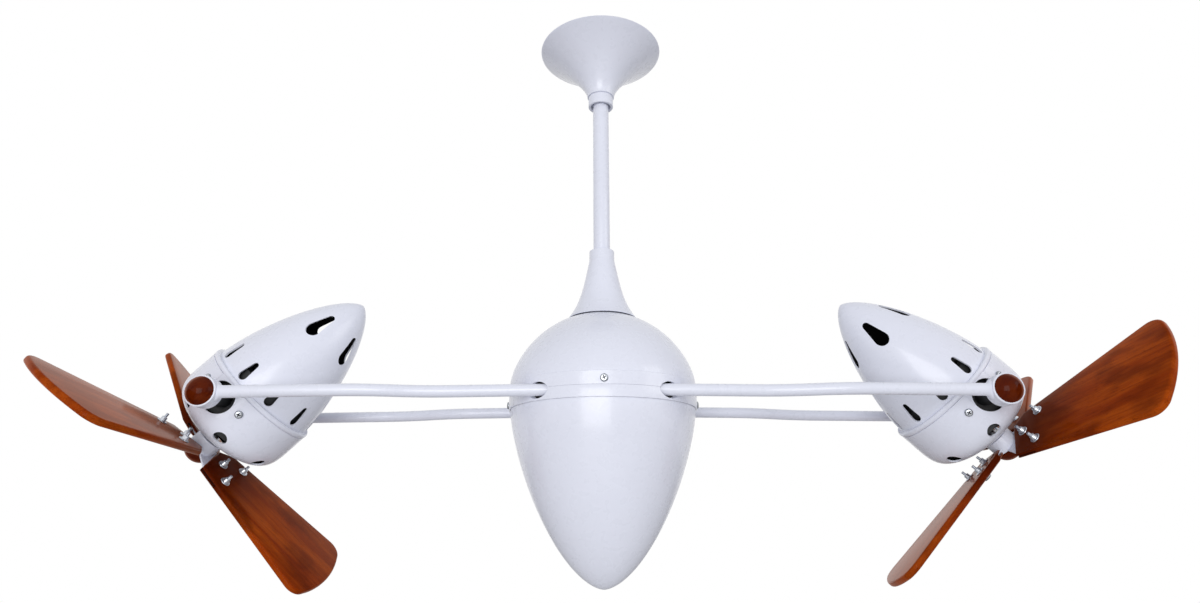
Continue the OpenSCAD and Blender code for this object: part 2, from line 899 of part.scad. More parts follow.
module end_bracket(side) {
    seat_r = motor_bearing_d / 2;
    color("#2a2b2d")
        at_head(side)
            difference() {
                union() {
                    ring(frame_in - 0.1, seat_r, frame_back, frame_back + 4);
                    ring(frame_r, frame_in - 4, frame_back - 4, frame_back);
                    ring(frame_in - 3.9, seat_r, frame_back - 4, frame_back);
                    ring(seat_r + 4, seat_r, -bearing_seat_back - motor_bearing_w - 1, frame_back);
                }
                for (turn = [0:60:300])
                    rotate([0, 0, turn])
                        translate([31, 0, frame_back - 5])
                            cylinder(r = 7, h = 10);
            }
}

module stator(side) {
    bore = rotor_d / 2 + air_gap;
    coil_in = bore + 5;
    coil_out = frame_in - 3;
    at_head(side) {
        color("#7d8084")
            ring(frame_in, bore, -stack_len / 2, stack_len / 2);
        color("#b0642f")
            for (end = [-1, 1])
                translate([0, 0, end * (stack_len / 2 + 3)])
                    ring(coil_out, coil_in, -3, 3);
    }
}

module motor_bearings(side) {
    color(steel)
        at_head(side)
            for (s = [bearing_seat_front, -bearing_seat_back - motor_bearing_w])
                ring(motor_bearing_d / 2, shaft_d / 2 + run_fit, s, s + motor_bearing_w);
}

module pivot_bolts(side) {
    head_at = socket_floor + 0.2;
    at_head(side)
        at_pivots() {
            color(steel) {
                rod_y(pivot_bolt_d / 2, frame_in + 1, head_at + eps);
                rod_y(socket_r - 2.5, head_at, head_at + 5);
            }
            color("#6b5b45")
                difference() {
                    rod_y(pad_r - 0.5, pad_y, pad_y + washer_t);
                    rod_y(pivot_bolt_d / 2, pad_y - 1, pad_y + washer_t + 1);
                }
        }
}

function rear_radius(f) = rear_r * ogive(f, rear_p, rear_q);

module rear_shell(side) {
    steps = 20;
    f = [for (i = [0:steps]) sin(90 * i / steps)];
    round_r = 1;
    inner_end = -nose_back + 1.4 * head_wall;
    outer = [for (v = f) [rear_radius(v), -rear_start - rear_len * v]];
    inner = [for (i = [steps - 1:-1:0])
        [rear_radius(f[i]) * (1 - 1.2 * head_wall / rear_r), -rear_start + (inner_end + rear_start) * f[i]]];
    seam_vent_turn = side == LEFT ? 20.5 : 9.5;
    nose_vent_turn = side == LEFT ? 19 : 5;
    seam_turn = side == LEFT ? 0 : 27.5;
    color(white)
        at_head(side)
            difference() {
                union() {
                    rotate([0, 0, seam_turn])
                        rotate_extrude()
                            polygon(concat([[skirt_in, skirt_front], [skirt_r, skirt_front],
                                [skirt_r, -seam_back],
                                [bead_r - round_r, -seam_back], [bead_r, -seam_back - round_r],
                                [bead_r, -rear_start + round_r], [bead_r - round_r, -rear_start]],
                                outer, [[0, inner_end]], inner,
                                [[skirt_in, -seam_back]]));
                    intersection() {
                        ring(head_r, skirt_in, -seam_back - 1, 0);
                        translate([-pivot_hole_d / 2 + 0.15, -head_r, -seam_back - 1])
                            cube([pivot_hole_d - 0.3, head_d, seam_back + 1]);
                    }
                }
                rod_y(pivot_hole_d / 2, -head_r - 1, head_r + 1);
                at_head_screws()
                    rod_x(1.7, -6, 1);
                for (i = [0:seam_vents - 1])
                    drop_cut(seam_vent_turn + 360 * i / seam_vents, -28.5, 4.6, 2.9, 14);
                for (i = [0:nose_vents - 1])
                    drop_cut(nose_vent_turn + 360 * i / nose_vents, -103.5, 7.2, 3.6, 18.6);
            }
}

module front_shell(side) {
    steps = 18;
    edge_f = pow(1 - pow(hub_opening_d / head_d, 1 / front_q), 1 / front_p);
    f = [for (i = [0:steps]) edge_f * sin(90 * i / steps)];
    outer = [for (v = f) [head_r * ogive(v, front_p, front_q), front_len * v - seam_back]];
    inner = [for (i = [steps:-1:0])
        [(head_r - head_wall) * ogive(f[i], front_p, front_q), (front_len - head_wall) * f[i] - seam_back]];
    vent_turn = side == LEFT ? 9.6 : -17.2;
    color(white)
        at_head(side)
            difference() {
                rotate_extrude()
                    polygon(concat(outer,
                        [[hub_opening_d / 2 - head_wall, front_len * edge_f - seam_back - head_wall]],
                        inner));
                rod_y(pivot_hole_d / 2, -head_r - 1, head_r + 1);
                translate([-pivot_hole_d / 2, -head_r - 1, -seam_back - 1])
                    cube([pivot_hole_d, head_d + 2, seam_back + 1]);
                at_head_screws()
                    rod_x(1.7, -6, 1);
                for (i = [0:hub_vents - 1])
                    rotate([0, 0, vent_turn + 360 * i / hub_vents])
                        translate([head_r - 4.8, 0, front_len - seam_back - 19.7])
                            rotate([0, 48, 0])
                                translate([0, 0, -9])
                                    cylinder(d = hub_vent_d, h = 18);
            }
}

module head_screws(side) {
    color(zinc)
        at_head(side)
            at_head_screws()
                pan_screw(pan_head_d, 3, 10);
}

// ---- Rotors ----

// Places its children on one blade: X along it, Y across it, Z out of its front face
module at_blade(side, index) {
    turn = side == LEFT ? turn_left : turn_right;
    at_head(side)
        rotate([0, 0, turn + 360 * index / blades_per_hub])
            translate([0, 0, blade_front])
                rotate([blade_pitch, 0, 0])
                    children();
}

module motor_rotor(side) {
    at_head(side) {
        color(steel)
            translate([0, 0, -bearing_seat_back - motor_bearing_w])
                cylinder(d = shaft_d, h = bearing_seat_back + motor_bearing_w + hub_back + hub_len - 2);
        color("#7d8084")
            ring(rotor_d / 2, shaft_d / 2, -stack_len / 2, stack_len / 2);
    }
}

module hub(side) {
    color(white)
        difference() {
            union() {
                at_head(side)
                    translate([0, 0, hub_back])
                        cylinder(d = hub_d, h = hub_len);
                for (i = [0:blades_per_hub - 1])
                    at_blade(side, i)
                        linear_extrude(tongue_t, center = true)
                            polygon([[0, -8], [root_trail[0], root_trail[1] + 3], [tongue_end, tongue_trail],
                                [tongue_end, tongue_lead], [root_lead[0], root_lead[1] - 4], [0, 8]]);
            }
            at_head(side) {
                translate([0, 0, hub_back - 1])
                    cylinder(d = shaft_d, h = hub_len - 1);
                translate([0, 0, hub_back + hub_len])
                    cylinder(d = hub_d + 2, h = hub_len);
            }
            for (i = [0:blades_per_hub - 1])
                at_blade(side, i)
                    for (at = blade_bolts_at)
                        translate([at[0], at[1], -10])
                            cylinder(d = blade_bolt_d + 2 * fit, h = 20);
        }
}

// The outline of a blade: straight edges, one cut corner, and a bulging tip between two round corners.
// A round corner is an arc from [from] to [to] degrees about a middle that its two edges give.
function arc_points(middle, r, from, to, steps) =
    [for (i = [0:steps]) let (a = from + (to - from) * i / steps) middle + r * [cos(a), sin(a)]];

module blade_outline() {
    steps = 6;
    chord = tip_lead - tip_trail;
    half = norm(chord) / 2;
    bulge_r = (pow(half, 2) + pow(tip_bulge, 2)) / (2 * tip_bulge);
    facing = atan2(-chord[0], chord[1]);
    bulge_middle = (tip_lead + tip_trail) / 2 - (bulge_r - tip_bulge) * [cos(facing), sin(facing)];
    spread = asin((half - tip_round) / (bulge_r - tip_round));
    trail_edge = tip_trail - root_corner;
    lead_edge = tip_lead - root_lead;
    round_middles = [for (to = [facing - spread, facing + spread])
        bulge_middle + (bulge_r - tip_round) * [cos(to), sin(to)]];
    polygon(concat([root_lead, root_trail, root_corner],
        arc_points(round_middles[0], tip_round,
            atan2(trail_edge[1], trail_edge[0]) - 90, facing - spread, steps),
        arc_points(bulge_middle, bulge_r, facing - 0.8 * spread, facing + 0.8 * spread, steps),
        arc_points(round_middles[1], tip_round,
            facing + spread, atan2(lead_edge[1], lead_edge[0]) + 90, steps)));
}

module blade(side, index) {
    color(wood)
        at_blade(side, index)
            difference() {
                linear_extrude(blade_t, center = true)
                    blade_outline();
                translate([0, tongue_trail - fit, -tongue_t / 2 - fit])
                    cube([tongue_end + 1, tongue_lead - tongue_trail + 2 * fit, tongue_t + 2 * fit]);
                for (at = blade_bolts_at)
                    translate([at[0], at[1], -blade_t])
                        cylinder(d = blade_bolt_d + 2 * fit, h = 2 * blade_t);
            }
}

module blade_bolts(side) {
    color(zinc)
        for (i = [0:blades_per_hub - 1])
            at_blade(side, i)
                for (at = blade_bolts_at)
                    translate([at[0], at[1], blade_t / 2])
                        rotate([0, -90, 0])
                            pan_screw(8.5, blade_bolt_d, blade_t + 9);
}

module blade_nuts(side) {
    color(zinc)
        for (i = [0:blades_per_hub - 1])
            at_blade(side, i)
                for (at = blade_bolts_at)
                    translate([at[0], at[1], -blade_t / 2])
                        rotate([180, 0, 0])
                            difference() {
                                union() {
                                    cylinder(d = 9, h = 1.2);
                                    cylinder(d = 6, h = 4.2);
                                }
                                translate([0, 0, -1])
                                    cylinder(d = blade_bolt_d + run_fit, h = 7);
                            }
}

module finial(side) {
    base = hub_back + hub_len;
    rise = 13;
    r = hub_d / 2 + 0.5;
    color(wood)
        at_head(side)
            translate([0, 0, base])
                rotate_extrude()
                    polygon(concat([[0, 0], [r - 1, 0], [r, 1]],
                        [for (i = [1:10]) [r * cos(9 * i), 1 + (rise - 1) * sin(9 * i)]]));
}

ceiling_bracket();
rod_bolts();
canopy();
canopy_collar();
grub_screws();
downrod();
neck_cover();
rod_coupler();
spindle();
bearing_inner_races();
spindle_nut();
contact_rings();
spindle_bearings();
carrier();
upper_shell();
lower_band();
lower_shell();
shell_screws();
arm_screws();
arm(LEFT, FRONT);  // front_left_arm
arm(LEFT, BACK);  // back_left_arm
arm(RIGHT, FRONT);  // front_right_arm
arm(RIGHT, BACK);  // back_right_arm
dome_caps();
brush_block();
motor_capacitors();
motor_frame(LEFT);  // left_motor_frame
end_bracket(LEFT);  // left_end_bracket
stator(LEFT);  // left_stator
motor_bearings(LEFT);  // left_motor_bearings
pivot_bolts(LEFT);  // left_pivot_bolts
rear_shell(LEFT);  // left_rear_shell
front_shell(LEFT);  // left_front_shell
head_screws(LEFT);  // left_head_screws
motor_frame(RIGHT);  // right_motor_frame
end_bracket(RIGHT);  // right_end_bracket
stator(RIGHT);  // right_stator
motor_bearings(RIGHT);  // right_motor_bearings
pivot_bolts(RIGHT);  // right_pivot_bolts
rear_shell(RIGHT);  // right_rear_shell
front_shell(RIGHT);  // right_front_shell
head_screws(RIGHT);  // right_head_screws
motor_rotor(LEFT);  // left_motor_rotor
hub(LEFT);  // left_hub
blade(LEFT, 0);  // left_blade_1
blade(LEFT, 1);  // left_blade_2
blade(LEFT, 2);  // left_blade_3
blade_bolts(LEFT);  // left_blade_bolts
blade_nuts(LEFT);  // left_blade_nuts
finial(LEFT);  // left_finial
motor_rotor(RIGHT);  // right_motor_rotor
hub(RIGHT);  // right_hub
blade(RIGHT, 0);  // right_blade_1
blade(RIGHT, 1);  // right_blade_2
blade(RIGHT, 2);  // right_blade_3
blade_bolts(RIGHT);  // right_blade_bolts
blade_nuts(RIGHT);  // right_blade_nuts
finial(RIGHT);  // right_finial
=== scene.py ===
import json
import math

import bmesh
import bpy
from mathutils import Matrix, Vector


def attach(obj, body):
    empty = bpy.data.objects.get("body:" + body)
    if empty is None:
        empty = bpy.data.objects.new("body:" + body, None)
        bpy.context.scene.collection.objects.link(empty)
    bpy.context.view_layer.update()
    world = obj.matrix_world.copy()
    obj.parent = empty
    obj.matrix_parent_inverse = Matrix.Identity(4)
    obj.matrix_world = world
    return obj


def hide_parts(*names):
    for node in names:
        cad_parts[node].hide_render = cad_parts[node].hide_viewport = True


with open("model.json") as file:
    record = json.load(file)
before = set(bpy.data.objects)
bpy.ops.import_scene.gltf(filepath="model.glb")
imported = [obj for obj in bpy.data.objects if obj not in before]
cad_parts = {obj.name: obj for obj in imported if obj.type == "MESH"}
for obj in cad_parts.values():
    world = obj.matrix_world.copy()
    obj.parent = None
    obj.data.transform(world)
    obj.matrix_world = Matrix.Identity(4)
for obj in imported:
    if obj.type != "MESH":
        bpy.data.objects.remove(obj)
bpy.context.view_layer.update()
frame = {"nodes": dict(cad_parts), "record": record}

# Sizes in mm. Those of the large forms are the same as in the part's source, apart from the neck
# cover's wall, which is thicker here. The fan hangs from the origin, and +Z is up.
BODY_DROP = 420.0
ROD_D, ROD_WALL, ROD_TOP, ROD_END_IN_NECK = 18.2, 2.0, -14.0, 46.0
CANOPY_RIM_D, CANOPY_FOOT_D, CANOPY_H, CANOPY_CURVE = 142.0, 31.0, 60.0, 1.6
COLLAR_D, COLLAR_H, COLLAR_RECESS_D, COLLAR_ROOF = 28.8, 13.0, 23.0, 6.0
GRUB_HOLE_R = 2.0
NECK_TOP, NECK_LIP_D, NECK_LIP_H, NECK_BASE_D = 154.5, 27.4, 11.0, 74.0
NECK_SLOPE, NECK_GAP, NECK_WALL = 0.205, 1.5, 1.8
BAND_R, BAND_TOP, BAND_BOTTOM, SEAM_Z = 96.5, 14.0, 10.5, 1.0
DOME_R, DOME_H, DOME_P, DOME_Q, DOME_OPENING_R = 96.0, 79.0, 1.6, 0.48, 30.0
BOWL_R, BOWL_H, BOWL_P, BOWL_Q = 95.0, 171.0, 1.4, 0.6
SHELL_WALL, SCREW_HOLE_R = 1.5, 1.6
ARM_HOLE_D, RAIL_HALF_LENGTH = 16.0, 40.0
TUBE_R, ARM_Y_BODY, ARM_Y_HEAD = 5.8, 73.0, 89.0
BEND_START, BEND_LEN, BEND_MIDDLE = 142.0, 107.0, 4.0
ARM_DROOP, ARM_ROOT, PIVOT_REACH = 0.7, 20.0, 367.0
BOSS_D, BOSS_OUTER, BOSS_INNER = 29.3, 96.5, 81.5
# how many times taller the tube is, at places along it that are measured from the boss's rim
WELD = ((-3, 1.0), (-1.6, 1.05), (-0.6, 1.13), (0.4, 1.28), (1.6, 1.5), (6, 1.6))
SOCKET_R, SOCKET_FLOOR = 11.15, 85.5
CAP_D, CAP_RISE, CAP_RIM, CAP_PLUG = 26.2, 7.5, 1.5, 5.0
TILT = {"left": 44.6, "right": 44.2}
HEAD_R, HEAD_WALL, SEAM_BACK, FRONT_LEN = 61.8, 1.5, 16.3, 61.5
BEAD_W, BEAD_R, BEAD_BULGE, REAR_R, NOSE_BACK = 5.0, 62.3, 1.4, 58.0, 154.0
REAR_P, REAR_Q, FRONT_P, FRONT_Q = 1.48, 0.65, 6.4, 0.74
PIVOT_HOLE_D, PIVOT_BOLT_R, HUB_OPENING_R = 32.0, 4.0, 12.5
HEAD_SCREW_S, HEAD_SCREW_TURN, HEAD_SCREW_HOLE_R = -2.5, 24.0, 1.7
SEAM_VENTS, NOSE_VENTS, HUB_VENTS, HUB_VENT_D = 10, 5, 7, 14.0
SEAM_VENT_TURN = {"left": 20.5, "right": 9.5}
NOSE_VENT_TURN = {"left": 19.0, "right": 5.0}
HUB_VENT_TURN = {"left": 9.6, "right": -17.2}
# each drop's place along the head's axis, the radii of its two ends, and how far apart they are
SEAM_DROP = (-28.5, 4.6, 2.9, 14.0)
NOSE_DROP = (-103.5, 7.2, 3.6, 18.6)
# where the round vents cut the face, and how far they lean from the head's axis
HUB_VENT_OUT, HUB_VENT_ALONG, HUB_VENT_LEAN = 57.0, 25.5, 48.0
HUB_R, HUB_LEN, BLADE_FRONT, BLADE_PITCH, BLADE_T = 14.0, 14.5, 58.0, 12.0, 6.5
BLADE_TURN = {"left": 101.5, "right": -121.0}
HUB_BACK, SHAFT_BORE_R = BLADE_FRONT - 11.5, 4.0
ROOT_LEAD, ROOT_TRAIL, ROOT_CORNER = (18.0, 29.5), (14.0, -12.0), (27.5, -25.0)
TIP_TRAIL, TIP_LEAD, TIP_BULGE, TIP_ROUND = (178.0, -41.0), (167.0, 71.0), 12.0, 15.0
TONGUE_END, TONGUE_TRAIL, TONGUE_LEAD, TONGUE_T = 56.0, -20.0, 36.0, 2.0
BLADE_BOLTS = ((28.0, 3.0), (43.0, 23.0), (46.0, -14.0))
BLADE_BOLT_D, BLADE_BOLT_HEAD_D, BLADE_BOLT_TIP, THREAD_PITCH = 3.0, 8.5, 9.0, 0.55
PAN_HEAD_D, PAN_STEM_D, BAND_SCREW_LEN, HEAD_SCREW_LEN = 7.5, 3.0, 12.0, 10.0
FINIAL_RISE = 13.0
FIT, PLAY = 0.1, 0.3

# How fine the spun pieces are, and where an edge counts as sharp
TURNS = 128
SMALL_TURNS = 32
SHARP = math.radians(38)

# The camera: where it stands in mm, its pitch and roll, and the photograph's frame in pixels
EYE = Vector((-10.07, -740.0, -538.0))
PITCH, ROLL = 0.297, 0.003
FOCAL_PX, CENTRE_PX, FRAME_W = 716.09, 592.8, 1200

# The studio: how strongly its white surroundings light the fan, its floor's height in metres and
# glow, and its lamps in watts
SKY_LIGHT, FLOOR_Z, FLOOR_GLOW = 0.495, -1.6, 0.6
FRONT_LAMP_W, SIDE_LAMP_W = 35.0, 9.0


# ---- Placing ----

def moved(x=0.0, y=0.0, z=0.0):
    return Matrix.Translation((x, y, z))


def turned(degrees, axis):
    return Matrix.Rotation(math.radians(degrees), 4, axis)


AT_BODY = moved(z=-BODY_DROP)
PIVOT_Z = -(PIVOT_REACH - ARM_ROOT) * math.tan(math.radians(ARM_DROOP))
ARM_LENGTH = (PIVOT_REACH - ARM_ROOT) / math.cos(math.radians(ARM_DROOP))


def at_head(side):
    """The head's own frame: Z runs along its axis towards the blades."""
    turn = turned(180 if side == "left" else 0, "Z")
    return AT_BODY @ turn @ moved(PIVOT_REACH, 0, PIVOT_Z) @ turned(90 + TILT[side], "Y")


def at_arm(side, row):
    """One arm's own frame, mirrored from the front right one."""
    flip = Matrix.Diagonal((-1 if side == "left" else 1, -1 if row == "back" else 1, 1, 1))
    return AT_BODY @ flip @ moved(ARM_ROOT) @ turned(ARM_DROOP, "Y")


def at_blade(side, index):
    """One blade's own frame: X along it, Y across it, Z out of its front."""
    turn = turned(BLADE_TURN[side] + 120 * index, "Z")
    return at_head(side) @ turn @ moved(z=BLADE_FRONT) @ turned(BLADE_PITCH, "X")


# ---- Materials ----

def hex_colour(code):
    """An sRGB hex colour as a linear one."""
    parts = [int(code[i:i + 2], 16) / 255 for i in (1, 3, 5)]
    return [p / 12.92 if p <= 0.04045 else ((p + 0.055) / 1.055) ** 2.4 for p in parts] + [1.0]


def add_node(tree, kind, settings=None, inputs=None):
    """Adds a node, with its settings, and with its inputs given as values or as sockets to link."""
    node = tree.nodes.new(kind)
    for name, value in (settings or {}).items():
        setattr(node, name, value)
    for name, value in (inputs or {}).items():
        if isinstance(value, bpy.types.NodeSocket):
            tree.links.new(value, node.inputs[name])
        else:
            node.inputs[name].default_value = value
    return node


def new_material(name, coordinates="Object"):
    """An empty material, its Principled shader, and the coordinates its patterns read, in mm."""
    material = bpy.data.materials.new(name)
    material.use_nodes = True
    tree = material.node_tree
    shader = next(n for n in tree.nodes if n.type == "BSDF_PRINCIPLED")
    if coordinates == "Object":
        source = add_node(tree, "ShaderNodeTexCoord").outputs["Object"]
        scale = [1000.0] * 3
    else:
        attribute = add_node(tree, "ShaderNodeAttribute", {"attribute_name": coordinates})
        source = attribute.outputs["Vector"]
        scale = [1.0] * 3
    place = add_node(tree, "ShaderNodeMapping", {}, {"Vector": source, "Scale": scale})
    return material, tree, shader, place.outputs["Vector"]


def noise(tree, place, size_mm, stretch=(1, 1, 1), detail=3.0, roughness=0.55):
    """A noise whose features are about size_mm across, stretched along each axis."""
    scaled = add_node(tree, "ShaderNodeMapping", {}, {
        "Vector": place, "Scale": [1 / (size_mm * s) for s in stretch]})
    node = add_node(tree, "ShaderNodeTexNoise", {}, {
        "Vector": scaled.outputs["Vector"], "Scale": 1.0, "Detail": detail, "Roughness": roughness})
    return node.outputs["Fac"]


def blend_colours(tree, share, first, second):
    """Mixes two colours by a share; each is a hex code or a socket."""
    colours = [hex_colour(c) if isinstance(c, str) else c for c in (first, second)]
    # the node's inputs 6 and 7 and its output 2 are the ones for colours
    node = add_node(tree, "ShaderNodeMix", {"data_type": "RGBA"})
    for socket, value in zip((node.inputs[0], node.inputs[6], node.inputs[7]), (share, *colours)):
        if isinstance(value, bpy.types.NodeSocket):
            tree.links.new(value, socket)
        else:
            socket.default_value = value
    return node.outputs[2]


def ranged(tree, value, low, high, to_low, to_high):
    """Maps a value from one range to another."""
    node = add_node(tree, "ShaderNodeMapRange", {}, {
        "Value": value, "From Min": low, "From Max": high, "To Min": to_low, "To Max": to_high})
    return node.outputs["Result"]


def bumped(tree, shader, height, depth_mm, strength):
    """Feeds a height to the shader as a bump of that depth."""
    bump = add_node(tree, "ShaderNodeBump", {}, {
        "Height": height, "Distance": depth_mm / 1000, "Strength": strength})
    tree.links.new(bump.outputs["Normal"], shader.inputs["Normal"])


def powder_coat():
    """Polyester powder coat on pressed steel: cool white, glossy, with a fine orange peel."""
    material, tree, shader, place = new_material("powder_coat")
    cloud = noise(tree, place, 70.0, detail=2.0)
    tree.links.new(blend_colours(tree, ranged(tree, cloud, 0.35, 0.65, 0.0, 1.0),
                                 "#E1E4F2", "#E3E6F4"), shader.inputs["Base Color"])
    film = noise(tree, place, 9.0, detail=2.0)
    tree.links.new(ranged(tree, film, 0.3, 0.7, 0.26, 0.30), shader.inputs["Roughness"])
    # the real peel is about 1 mm across; it is drawn at 2.2 mm so that it shows
    bumped(tree, shader, noise(tree, place, 2.2, detail=1.0), 0.01, 0.1)
    shader.inputs["IOR"].default_value = 1.5
    shader.inputs["Specular IOR Level"].default_value = 0.4
    shader.inputs["Coat Weight"].default_value = 0.25
    shader.inputs["Coat Roughness"].default_value = 0.1
    return material


def painted_shade_inside():
    """Painted shade inside the shells: near black, dull and slightly uneven, so that openings look
    as dark as the shade in them.
    """
    material, tree, shader, place = new_material("painted_shade_inside")
    patchy = noise(tree, place, 18.0)
    tree.links.new(blend_colours(tree, patchy, "#050506", "#0E0E10"), shader.inputs["Base Color"])
    tree.links.new(ranged(tree, noise(tree, place, 3.0), 0.3, 0.7, 0.6, 0.8),
                   shader.inputs["Roughness"])
    bumped(tree, shader, noise(tree, place, 1.5), 0.03, 0.3)
    shader.inputs["Specular IOR Level"].default_value = 0.2
    return material


def lacquered_mahogany(name, figure_mm, figure_share, faced_coat):
    """Mahogany under clear lacquer: red-brown, dark streaks and fine pores along the grain."""
    material, tree, shader, grain = new_material(name, "grain")
    bands = noise(tree, grain, 13.0, (9, 1, 1), detail=3.0, roughness=0.5)
    streaks = noise(tree, grain, 2.6, (30, 1, 1), detail=3.0, roughness=0.6)
    fibres = noise(tree, grain, 0.7, (34, 1, 1), detail=2.0, roughness=0.6)
    pores = noise(tree, grain, 0.5, (11, 1, 1), detail=1.0)
    tone = blend_colours(tree, ranged(tree, bands, 0.38, 0.64, 0.0, 1.0), "#93380B", "#B45113")
    tone = blend_colours(tree, ranged(tree, streaks, 0.5, 0.74, 0.0, 0.5), tone, "#6C2405")
    tone = blend_colours(tree, ranged(tree, fibres, 0.4, 0.8, 0.0, 0.4), tone, "#702806")
    tone = blend_colours(tree, ranged(tree, pores, 0.64, 0.72, 0.0, 0.5), tone, "#340F02")
    # the root drinks more stain, so it is darker, and so is the tip a little
    along = add_node(tree, "ShaderNodeSeparateXYZ", {}, {"Vector": grain}).outputs["X"]
    figure = noise(tree, grain, figure_mm, (1.8, 1, 1), detail=2.0)
    tone = blend_colours(tree, ranged(tree, figure, 0.48, 0.66, 0.0, figure_share), tone, "#541804")
    tip = ranged(tree, along, 120.0, 190.0, 0.0, 0.2)
    tone = blend_colours(tree, tip, tone, "#6E2408")
    root = ranged(tree, along, 40.0, 100.0, 0.85, 0.0)
    tone = blend_colours(tree, root, tone, "#400C02")
    # painted sheen: the colour goes towards a pinkish brown at a glancing view, standing in for the
    # lacquer's reflection there
    glance = add_node(tree, "ShaderNodeLayerWeight").outputs["Facing"]
    painted_sheen = ranged(tree, glance, 0.5, 0.95, 0.0, 0.6)
    tree.links.new(blend_colours(tree, painted_sheen, tone, "#CE8768"), shader.inputs["Base Color"])
    tree.links.new(ranged(tree, fibres, 0.3, 0.7, 0.30, 0.42), shader.inputs["Roughness"])
    bumped(tree, shader, fibres, 0.03, 0.25)
    # a thin lacquer: little mirror when faced, much at a glancing view
    tree.links.new(ranged(tree, glance, 0.45, 0.9, faced_coat, 0.42),
                   shader.inputs["Coat Weight"])
    shader.inputs["Specular IOR Level"].default_value = 0.0
    shader.inputs["Coat IOR"].default_value = 1.35
    shader.inputs["Coat Roughness"].default_value = 0.12
    return material


def metal(name, dark, light, rough_low, rough_high, grit_mm, depth_mm):
    """A bare or plated metal whose tone and roughness vary with its surface grit."""
    material, tree, shader, place = new_material(name)
    cloud = noise(tree, place, 12.0, detail=3.0)
    grit = noise(tree, place, grit_mm, detail=2.0)
    tree.links.new(blend_colours(tree, cloud, dark, light), shader.inputs["Base Color"])
    tree.links.new(ranged(tree, grit, 0.3, 0.7, rough_low, rough_high), shader.inputs["Roughness"])
    bumped(tree, shader, grit, depth_mm, 0.3)
    shader.inputs["Metallic"].default_value = 1.0
    return material


def plain_coating(name, dark, light, rough_low, rough_high, grit_mm, depth_mm):
    """A moulded plastic or a matt paint, with faint mottling and a fine texture."""
    material, tree, shader, place = new_material(name)
    tree.links.new(blend_colours(tree, noise(tree, place, 20.0), dark, light),
                   shader.inputs["Base Color"])
    grit = noise(tree, place, grit_mm, detail=2.0)
    tree.links.new(ranged(tree, grit, 0.3, 0.7, rough_low, rough_high), shader.inputs["Roughness"])
    bumped(tree, shader, grit, depth_mm, 0.3)
    return material


ENAMEL = powder_coat()
# near-black painted shade for the shells' inner faces and the screws' recesses
PAINTED_SHADE = painted_shade_inside()
WOOD = lacquered_mahogany("lacquered_mahogany", 26.0, 0.55, 0.05)
# the same wood, turned on a lathe and dipped, so its lacquer is thicker and shines when faced
TURNED_WOOD = lacquered_mahogany("dipped_mahogany", 6.0, 0.8, 0.22)
# bright zinc plating on small screws: pale, slightly blue, soft gloss
ZINC = metal("bright_zinc_plate", "#B6BAC2", "#D8DBE2", 0.22, 0.38, 0.8, 0.01)
# turned and ground carbon steel: greyer, with a fine machined grit
STEEL = metal("ground_steel", "#83878D", "#A3A7AD", 0.28, 0.42, 0.4, 0.01)
# sand-cast aluminium: pale and dull, with a coarse skin
CAST = metal("sand_cast_aluminium", "#8E9196", "#B0B3B8", 0.45, 0.62, 1.6, 0.08)
# painted shade: the motor castings get a matt near black, so that what shows through the vents
# looks as dark as the shade inside the heads
PAINTED_MOTOR_SHADE = plain_coating("painted_shade_on_motor", "#101113", "#1D1F22", 0.5, 0.65, 1.2, 0.05)
# silicon steel laminations and enamelled copper wire, seen as one dark metal
LAMINATION = metal("varnished_laminations", "#4A3A30", "#6B5A4C", 0.4, 0.55, 0.5, 0.05)
# thermoset moulding, dark brown and dull
PHENOLIC = plain_coating("phenolic_moulding", "#221C18", "#322A25", 0.4, 0.55, 0.8, 0.02)
# glossy white polypropylene cans
CAN = plain_coating("polypropylene_can", "#DCDCD8", "#E8E8E4", 0.3, 0.4, 1.5, 0.02)
# a screw's face, its rim and its recess; the rim's greyer steel and the recess's near black are
# painted shade
SCREW_MATERIALS = [ZINC, STEEL, PAINTED_SHADE]

SLOTS = {
    "white_enamel": ENAMEL, "wood": WOOD, "zinc": ZINC, "steel": STEEL, "cast_aluminium": CAST,
    "motor_black": PAINTED_MOTOR_SHADE, "lamination": LAMINATION, "phenolic": PHENOLIC,
    "capacitor_plastic": CAN,
}
slot_of = {part["node"]: part["material_slot"] for part in frame["record"]["subparts"]}
body_of = {node: body for body, nodes in frame["record"]["behaviour"]["bodies"].items()
           for node in nodes}

for node, cad in frame["nodes"].items():
    cad.data.materials.clear()
    cad.data.materials.append(SLOTS[slot_of[node]])


# ---- Shaping ----

def softened(bm, width, segments=3):
    """Rounds every sharp edge of a closed shape."""
    edges = [e for e in bm.edges if len(e.link_faces) == 2 and e.calc_face_angle(0) > SHARP]
    bmesh.ops.bevel(bm, geom=edges, offset=width, offset_type="OFFSET", segments=segments,
                    profile=0.5, affect="EDGES", material=-1, clamp_overlap=True)
    return bm


def spun(profile, turns=TURNS, rounded=0.0, segments=3):
    """A closed profile of (radius, height) points, spun round Z into a solid."""
    bm = bmesh.new()
    corners = [bm.verts.new((r, 0, z)) for r, z in profile]
    edges = [bm.edges.new((a, b)) for a, b in zip(corners, corners[1:] + corners[:1])
             if a.co.x > 1e-6 or b.co.x > 1e-6]
    bmesh.ops.spin(bm, geom=corners + edges, cent=(0, 0, 0), axis=(0, 0, 1),
                   angle=2 * math.pi, steps=turns, use_merge=True)
    bmesh.ops.remove_doubles(bm, verts=bm.verts, dist=1e-4)
    bmesh.ops.dissolve_degenerate(bm, edges=bm.edges, dist=1e-5)
    bmesh.ops.recalc_face_normals(bm, faces=bm.faces)
    if rounded:
        softened(bm, rounded, segments)
    return bm


def cylinder(radius, low, high, turns=48, rounded=0.0):
    return spun([(0, low), (radius, low), (radius, high), (0, high)], turns, rounded)


def ring(outer, inner, low, high, turns=TURNS, rounded=0.0):
    return spun([(inner, low), (outer, low), (outer, high), (inner, high)], turns, rounded)


